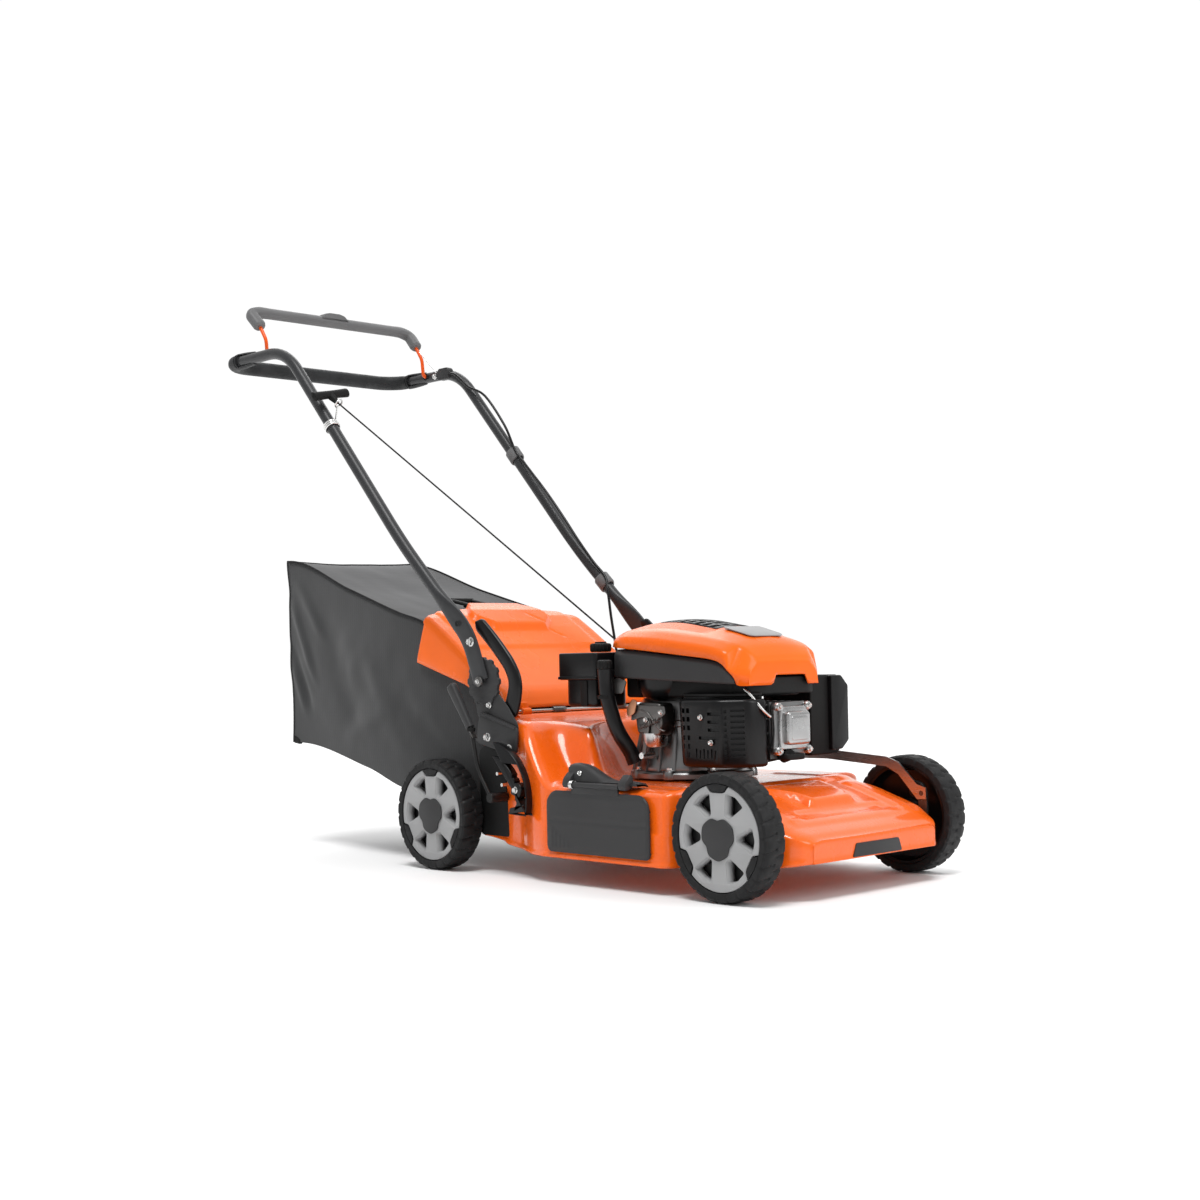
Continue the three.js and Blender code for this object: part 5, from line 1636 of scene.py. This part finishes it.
def make_hood():
    xs = [-22, -20.5, -18, -14, -10, -4, *spread(2, GRILLE_X[0], 6), *spread(GRILLE_X[0], GRILLE_X[1], 8)]
    xs += [*spread(GRILLE_X[1], 222, 6), *spread(222, 258, 2.5), 258, 260, 261.4, 262]
    rows = [hood_section(x) for x in xs]
    bm = bmesh.new()
    verts = [[bm.verts.new(p) for p in row] for row in rows]
    half_count = len(hood_ring(0))
    for i in range(len(rows) - 1):
        inside = GRILLE_X[0] - 0.1 <= xs[i] < GRILLE_X[1] - 0.1
        for j in range(len(rows[0]) - 1):
            if inside and half_count - 1 <= j < len(rows[0]) - half_count:
                continue
            bm.faces.new((verts[i][j], verts[i][j + 1], verts[i + 1][j + 1], verts[i + 1][j]))
    last = rows[-1]
    front = [last]
    for forward, share in ((0.5, 0.06), (0.8, 0.2), (0.9, 0.5), (0.9, 0.8), (0.9, 1)):
        narrow = 1 - 0.004 * share
        front.append([(262 + forward, y * narrow, z + (notch_height(y) - z) * share) for _, y, z in last])
    grid_bmesh(front, bm=bm)
    first = rows[0]
    back = [first, [(-23, y * 0.985, z + (377 - z) * 0.25) for _, y, z in first],
            [(-23.4, y * 0.98, z + (377 - z) * 1.0) for _, y, z in first]]
    grid_bmesh(back, bm=bm)
    hood = from_bmesh(bm, "hood_shell", "orange_plastic", sharp=48)
    thicken(hood, 2.6)
    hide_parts("engine_hood")


make_hood()


def tilt_to_hood(piece, offset):
    """Lays a flat piece, made level at z = 0, on the slope of the hood's top."""
    for v in piece.data.vertices:
        x = (v.co.x - MID_X) / MM
        v.co.z += (hood_top(x, v.co.y / MM) + offset) * MM


def make_grille():
    x0, x1 = GRILLE_X
    holes = []
    for i in range(7):
        for j in range(4):
            low_x = x0 + 7 + i * 16.6
            low_y = -GRILLE_Y + 7 + j * 23
            skew = 5 if (i + j) % 2 else -3
            hole = [(low_x, low_y), (low_x + 11, low_y + skew * 0.2),
                    (low_x + 11 - skew * 0.3, low_y + 17.5), (low_x + 2, low_y + 17.5)]
            holes.append(fillet(hole, 2.4, 3))
    outline = fillet(box_outline(x0 + 1.5, x1 - 1.5, -50.5, 50.5), 4)
    grid = plate("hood_grille_grid", outline, -2, 2, "black_plastic", plane="xy", holes=holes, bevel=0.7)
    tilt_to_hood(grid, -1.2)
    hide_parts("hood_grille")
    # A matt black sheet deep under the grille: painted shade in the recess, seen through the holes.
    shade_sheet = plate("hood_grille_shade_sheet", outline, -1, 1, "soot_plastic", plane="xy", bevel=0.4)
    tilt_to_hood(shade_sheet, -8)
    for index, y in enumerate((-30, 0, 30)):
        fin = plate(f"hood_grille_bar_{index + 1}", fillet(box_outline(x0 + 3, x1 - 3, y - 2, y + 2), 1),
                    -1.4, 1.8, "dark_steel", plane="xy", bevel=0.6)
        tilt_to_hood(fin, -5.6)
    # The hood's front panel is pale grey, and part of that pale colour is a painted highlight.
    panel_outline = fillet([(176, -46), (226, -42), (232, -32), (232, 32), (226, 42), (176, 46)], 6)
    panel = plate("hood_front_panel", panel_outline, -0.8, 1.1, "pale_grey_and_highlight_plastic", plane="xy", bevel=0.6)
    tilt_to_hood(panel, 3.2)


make_grille()

BELT = [  # x, half width, top
    (-12, 104, 370), (-6, 112, 372), (6, 118, 372), (26, 125, 371), (60, 124.5, 368), (150, 119, 358),
    (205, 114.5, 351.5),
    (222, 113, 347.5), (232, 111.5, 342), (240, 107.5, 333), (247, 101, 322.5),
]


def make_belt():
    xs = [-12, -10, -6, 0, 6, *spread(12, 205, 12), *spread(205, 247, 3), 247]
    rows = []
    for x in xs:
        w, top = along(BELT, x, 1), along(BELT, x, 2)
        low = 327 - 13 * (x + 12) / 260
        low = min(low, top - 7)
        bevel = min(7.0, (top - low) * 0.3)
        half = fillet_open([(w - 10, low), (w - 1.5, low), (w, low + 3), (w - 0.8, top - bevel),
                            (w - bevel * 0.9, top), (w - 26, top + 1)], [1, 1.2, 2.5, 1.5], 3)
        rows.append([(x, -y, z) for y, z in half] + [(x, y, z) for y, z in half[::-1]])
    bm = loft(rows)
    belt = from_bmesh(bm, "blower_belt", "grey_plastic", sharp=24)
    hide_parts("blower_housing")
    plate("blower_underside", fillet([(-10, -84), (60, -92), (150, -90), (226, -84), (238, -60), (238, 60),
                                      (226, 84), (60, 92), (-10, 84), (-14, 60), (-14, -60)], 14), 292.5,
          329, "soot_plastic", plane="xy", bevel=5)
    plate("blower_front", fillet([(222, -84), (250, -66), (256, -40), (256, 70), (246, 92), (222, 100)], 8),
          296, 324, "soot_plastic", plane="xy", bevel=3)
    turned("air_filter_bowl", [(1, -34), (30, -34), (42, -28), (50, -14), (52, 2), (52, 8), (1, 8)],
           (66, -58, 322), "black_plastic", axis="z", steps=48)


make_belt()


CASE_X = 58  # the middle of the round crankcase


def make_crankcase():
    centre = (CASE_X, 0, 0)
    flange = [(30, 160.5), (102, 160.5), (104.5, 162), (104.5, 169), (102.5, 171.5), (98, 172.5), (96, 174),
              (30, 174)]
    turned("engine_flange", flange, (ENGINE_AXIS[0], 0, 0), "cast", axis="z", steps=80)
    body = [(30, 173), (95, 173), (96, 176), (94.5, 182), (86, 205), (81, 220), (80, 226), (80, 244),
            (81.6, 246), (81.6, 254), (80, 256), (80, 286), (77, 290), (30, 290)]
    case = turned("engine_case", body, centre, "cast", axis="z", steps=80)
    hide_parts("crankcase")
    ribs = bmesh.new()
    for degrees in (-165, -148, -131, -114, -97, -80, -64, -48, -30, 150, 130, 110, 90, 70, 50):
        a = math.radians(degrees)
        ahead, across = Vector((math.cos(a), math.sin(a), 0)), Vector((-math.sin(a), math.cos(a), 0))
        rib = box_into(ribs, (0, 0, 0), (1, 1, 1))
        corners = [(78, -2.6, 173), (99, -2.6, 173), (99, 2.6, 173), (78, 2.6, 173), (76, -2.0, 246),
                   (82.6, -2.0, 246), (82.6, 2.0, 246), (76, 2.0, 246)]
        place_corners(rib, [Vector((CASE_X, 0, z)) + ahead * r + across * w for r, w, z in corners])
    from_bmesh(ribs, "engine_case_ribs", "cast", bevel=0.9)
    for index, degrees in enumerate((-155, -112, -70, -28, 28, 90, 150)):
        a = math.radians(degrees)
        place = Vector((ENGINE_AXIS[0] + 97 * math.cos(a), 97 * math.sin(a), 0))
        turned(f"flange_lug_{index + 1}", [(1, 161), (11, 161), (11.5, 163), (11, 171), (9, 174.5),
                                           (1, 174.5)], place, "cast", axis="z", steps=28)
        bolt(f"flange_bolt_{index + 1}", place + Vector((0, 0, 174.5)), (0, 0, 1), 6.2)


make_crankcase()


def make_shroud():
    outline = fillet([(126, -46), (126, -92), (146, -121), (226, -121.5), (264, -84), (269, -46)], 13, 6)
    body = plate("cylinder_cover", outline, 184.5, 291, "black_plastic", plane="xy", bevel=6.5, sharp=35)
    for v in body.data.vertices:
        z = v.co.z / MM
        lean = ramp(z, 215, 184) * 0.05
        v.co.y += -v.co.y * lean
    cuts = bmesh.new()
    for column in range(2):
        for row in range(6):
            low = 200 + row * 13.5 + (2 if row > 2 else 0)
            box_into(cuts, (152 + column * 10, -124, low), (158.5 + column * 10, -115.5, low + 7.5))
    for row, (a, b) in enumerate(((206, 232), (206, 232), (206, 228), (186, 228))):
        box_into(cuts, (a, -124, 266 - row * 12.5), (b, -115.5, 271 - row * 12.5))
    for column in range(7):
        high = 214 - (2 if column % 2 else 0)
        box_into(cuts, (178 + column * 8, -124, 199), (182 + column * 8, -115.5, high))
    slope = Vector((38, 37.5, 0)).normalized()
    out = Vector((slope.y, -slope.x, 0))
    start = Vector((226, -121.5, 0))

    def slanted(s0, s1, low, high):
        verts = box_into(cuts, (0, 0, 0), (1, 1, 1))
        corners = [(s, d, z) for z in (low, high) for s, d in ((s0, 3), (s1, 3), (s1, -7), (s0, -7))]
        place_corners(verts, [start + slope * s + out * d + Vector((0, 0, z)) for s, d, z in corners])

    for row in range(8):
        slanted(12, 16, 203 + row * 9.5, 208 + row * 9.5)
    for row in range(9):
        slanted(22, 44, 203 + row * 8.6, 206.6 + row * 8.6)
    carve(body, cuts)
    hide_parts("cylinder_shroud")
    bolt("cover_screw_1", (193, -121.2, 263), (0, -1, 0), 4.6)
    bolt("cover_screw_2", (214, -121.2, 224), (0, -1, 0), 4.6)
    tube("breather_rod",
         rounded([(247, -78, 306), (254, -76, 300), (271, -62, 272), (273, -48, 262)], 5, 5), 2.4, "zinc")
    for index, (z, x) in enumerate(((292.5, 200), (297, 214))):
        plate(f"cover_lip_{index + 1}",
              fillet([(136, -46), (136, -104), (x, -112), (x + 34, -84), (262, -46)], 12), z - 2, z + 2.4,
              "soot_plastic", plane="xy", bevel=1)


make_shroud()


VALVE_FLANGE = fillet([(-40, 202), (40, 202), (44, 212), (41, 242), (44, 272), (40, 284), (-36, 284),
                       (-40, 276), (-38, 242), (-42, 212)], 7)
VALVE_STACK = [  # outline, from x, to x, material, bevel
    ("valve_flange", VALVE_FLANGE, 267, 274, "cast", 1.4),
    ("valve_gasket", [(y * 1.01, z + 0.2) for y, z in VALVE_FLANGE], 264.6, 267, "soot_plastic", 0.4),
    ("valve_base", fillet([(-31, 209), (34, 209), (36, 242), (34, 277), (-30, 277), (-32, 242)], 8),
     272, 280, "bright_cast", 2.6),
    ("valve_cover_box", fillet(box_outline(-25, 29, 217, 269), 7), 274, 290.6, "bright_cast", 4.2),
    ("valve_cover_panel", fillet(box_outline(-18, 22, 224, 262), 5), 288.5, 291.2, "bright_cast", 1.0),
]


def make_valve_cover():
    for name, outline, low, high, material, bevel in VALVE_STACK:
        piece = plate(name, outline, low, high, material, plane="yz", bevel=bevel)
        if name == "valve_cover_box":
            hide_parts("valve_cover")
    for index, (y, z) in enumerate(((-34, 277), (37, 277), (-35, 208), (37, 208))):
        turned(f"valve_boss_{index + 1}", [(1, 272), (7, 272), (7, 279), (6, 280.5), (1, 280.5)], (0, y, z),
               "bright_cast", axis="x", steps=28)
        bolt(f"valve_bolt_{index + 1}", (280.5, y, z), (1, 0, 0), 4.8)
    for index in range(4):
        plate(f"head_fin_{index + 1}", fillet(box_outline(240, 262, -52, 52), 3), 279 - index * 22,
              281.4 - index * 22, "cast", plane="xy", bevel=0.6)
    tube("spark_plug_cap", rounded([(262, -6, 196), (276, -10, 200), (284, -16, 202)], 6, 5), 8.5,
         "soot_plastic")
    plate("plug_guard", fillet([(262, -26), (286, -24), (290, -8), (288, 18), (262, 22)], 6), 193, 203,
          "soot_plastic", plane="xy", bevel=2.5)
    tube("plug_lead", rounded([(262, -10, 197), (250, -44, 192), (236, -60, 205), (232, -66, 240)], 12, 6),
         3.4, "soot_plastic")


make_valve_cover()


def make_muffler_guard():
    outline = [(101, 192), (168, 192), (187.5, 209), (188.5, 306), (172, 323), (101, 323)]
    guard = plate("muffler_cover", fillet(outline, 4), 129, 232, "soot_plastic", plane="yz", bevel=3)
    groove = bmesh.new()
    for z in (226, 240, 254, 268, 282, 296):
        box_into(groove, (150, 96, z), (206, 103, z + 6))
    box_into(groove, (229, 146, 204), (240, 149, 318))
    carve(guard, groove)
    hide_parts("muffler_guard")
    plate("muffler_lip",
          fillet([(146, 199), (172, 200), (189, 214), (190, 305), (172, 322), (146, 322)], 3), 230, 240,
          "black_plastic", plane="yz", bevel=2)


make_muffler_guard()


def knurled_cap(name, levels, centre, lobes, depth, body):
    """A screw cap with finger grooves; each level is a height, a radius and 1 where the grooves run."""
    rows = []
    for height, radius, grooved in levels:
        row = []
        for k in range(6 * lobes):
            a = TAU * k / (6 * lobes)
            r = radius - depth * grooved * ramp(0.5 + 0.5 * math.cos(lobes * a), 0.7, 0.3)
            row.append((centre[0] + r * math.cos(a), centre[1] + r * math.sin(a), height))
        rows.append(row)
    return from_bmesh(loft(rows), name, "soot_plastic", body,
                      sharp=30)


def make_tank():
    plate("tank_body", fillet([(-98, -137.5), (-26, -137.5), (-24, -64), (-96, -64)], 12), 278, 330,
          "black_plastic", plane="xy", bevel=7)
    lid = plate("tank_lid", fillet(box_outline(-111.5, -20, -141.5, -60), 6), 323, 368, "black_plastic",
                plane="xy", bevel=3)
    plate("tank_seam", fillet(box_outline(-113, -19, -143, -59), 5), 324, 329, "black_plastic", plane="xy",
          bevel=1.2)
    plate("tank_strap", fillet(box_outline(-60, -44, 280, 322), 3), -139.6, -136, "soot_plastic", bevel=0.8)
    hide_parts("fuel_tank")
    levels = [(368.6, 15.4, 0), (370, 17.2, 1), (372, 18, 1), (380, 18, 1), (382.4, 16.6, 1),
              (383.4, 13, 0)]
    cap = knurled_cap("fuel_cap_cover", levels, (-50, -100), 16, 1.1, "fuel_cap")
    plate("fuel_cap_rib", fillet(box_outline(-62, -38, -103, -97), 2.5), 382, 386, "soot_plastic",
          "fuel_cap", plane="xy", bevel=1.2)
    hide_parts("fuel_cap")


make_tank()


def make_oil_filler():
    route = rounded([(2, -140, 340), (2, -140, 300), (16, -131, 240), (28, -112, 205), (32, -106, 188)],
                    [26, 26, 14], 8)

    def section(angle, t):
        return 12.4 + 1.4 * ramp(t, 0.12, 0.02) + 1.0 * ramp(t, 0.90, 0.98)

    filler = from_bmesh(sweep(route, section, count=28), "oil_filler", "black_plastic")
    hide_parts("oil_filler_tube")
    turned("oil_filler_band", [(10, 292), (12.2, 292), (12.6, 295), (12.2, 298), (10, 298)], (2, -142, 0),
           "soot_plastic", axis="z", steps=36)
    plate("oil_filler_stay", fillet([(-14, 300), (30, 300), (40, 320), (20, 326), (-14, 314)], 5), -131,
          -128, "dark_steel", bevel=0.7)
    levels = [(340.6, 12, 0), (342, 13, 1), (352, 13, 1), (354.4, 11.6, 1), (355.6, 8, 0)]
    cap = knurled_cap("oil_cap", levels, (2, -142), 12, 0.9, "oil_dipstick")
    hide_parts("oil_dipstick")


make_oil_filler()


def make_governor():
    """The carburettor and its linkage in the gap behind the cylinder cover."""
    body = plate("carburettor",
                 fillet([(48, 236), (96, 232), (104, 252), (100, 284), (52, 286), (44, 262)], 6), -116, -84,
                 "dark_steel", bevel=3)
    turned("carburettor_bowl", [(1, 214), (17, 214), (20, 218), (21, 236), (1, 236)], (72, -100, 0),
           "bright_cast", axis="z", steps=40)
    plate("governor_bracket",
          fillet([(40, 256), (64, 262), (100, 258), (118, 268), (116, 280), (44, 282)], 4), -122, -119.6,
          "dark_steel", bevel=0.6)
    plate("governor_arm", fillet([(60, 196), (68, 196), (82, 262), (72, 264)], 3), -120, -117.6,
          "dark_steel", bevel=0.6)
    tube("throttle_link",
         rounded([(56, -121, 276), (80, -123, 270), (100, -122, 244), (112, -118, 240)], 8, 6), 1.3,
         "dark_steel")
    coil = helix((62, -123, 246), (0.62, 0, 0.18), (0, 3.6, 0), (0, 0, 3.6), 0.8, 72)
    tube("governor_spring", coil, 0.75, "dark_steel", count=8)
    plate("choke_lever", fillet([(36, 262), (52, 268), (58, 288), (48, 292), (34, 276)], 4), -126, -123.5,
          "copper", bevel=0.6)
    turned("governor_shaft", [(0.5, -124), (5, -124), (5.4, -122), (5.4, -96), (0.5, -96)], (64, 0, 200),
           "zinc", steps=28)
    for index, (x, z) in enumerate(((46, 274), (108, 270), (74, 258))):
        bolt(f"governor_bolt_{index + 1}", (x, -122.2, z), (0, -1, 0), 4.2)


make_governor()


def make_link_end():
    """The black moulded end of the flat height link, at the left front wheel."""
    outline = fillet([(356, 128), (378, 118), (386, 128), (384, 146), (368, 152), (358, 144)], 5)
    plate("link_end", outline, 191.5, 199, "black_plastic", "height_link", bevel=1.4)


make_link_end()


# ---------- carried-over CAD nodes ----------
LEFT_AS_BUILT = {
    "front_axle": "dark_steel", "rear_axle": "dark_steel", "height_link": "steel", "rear_flap_rod": "zinc",
    "crankshaft": "steel", "blade": "dark_steel", "blade_bolt": "zinc", "cylinder": "cast",
    "muffler": "dark_steel",
}
for name, material in LEFT_AS_BUILT.items():
    for slot in NODES[name].material_slots:
        slot.material = MATERIALS[material]
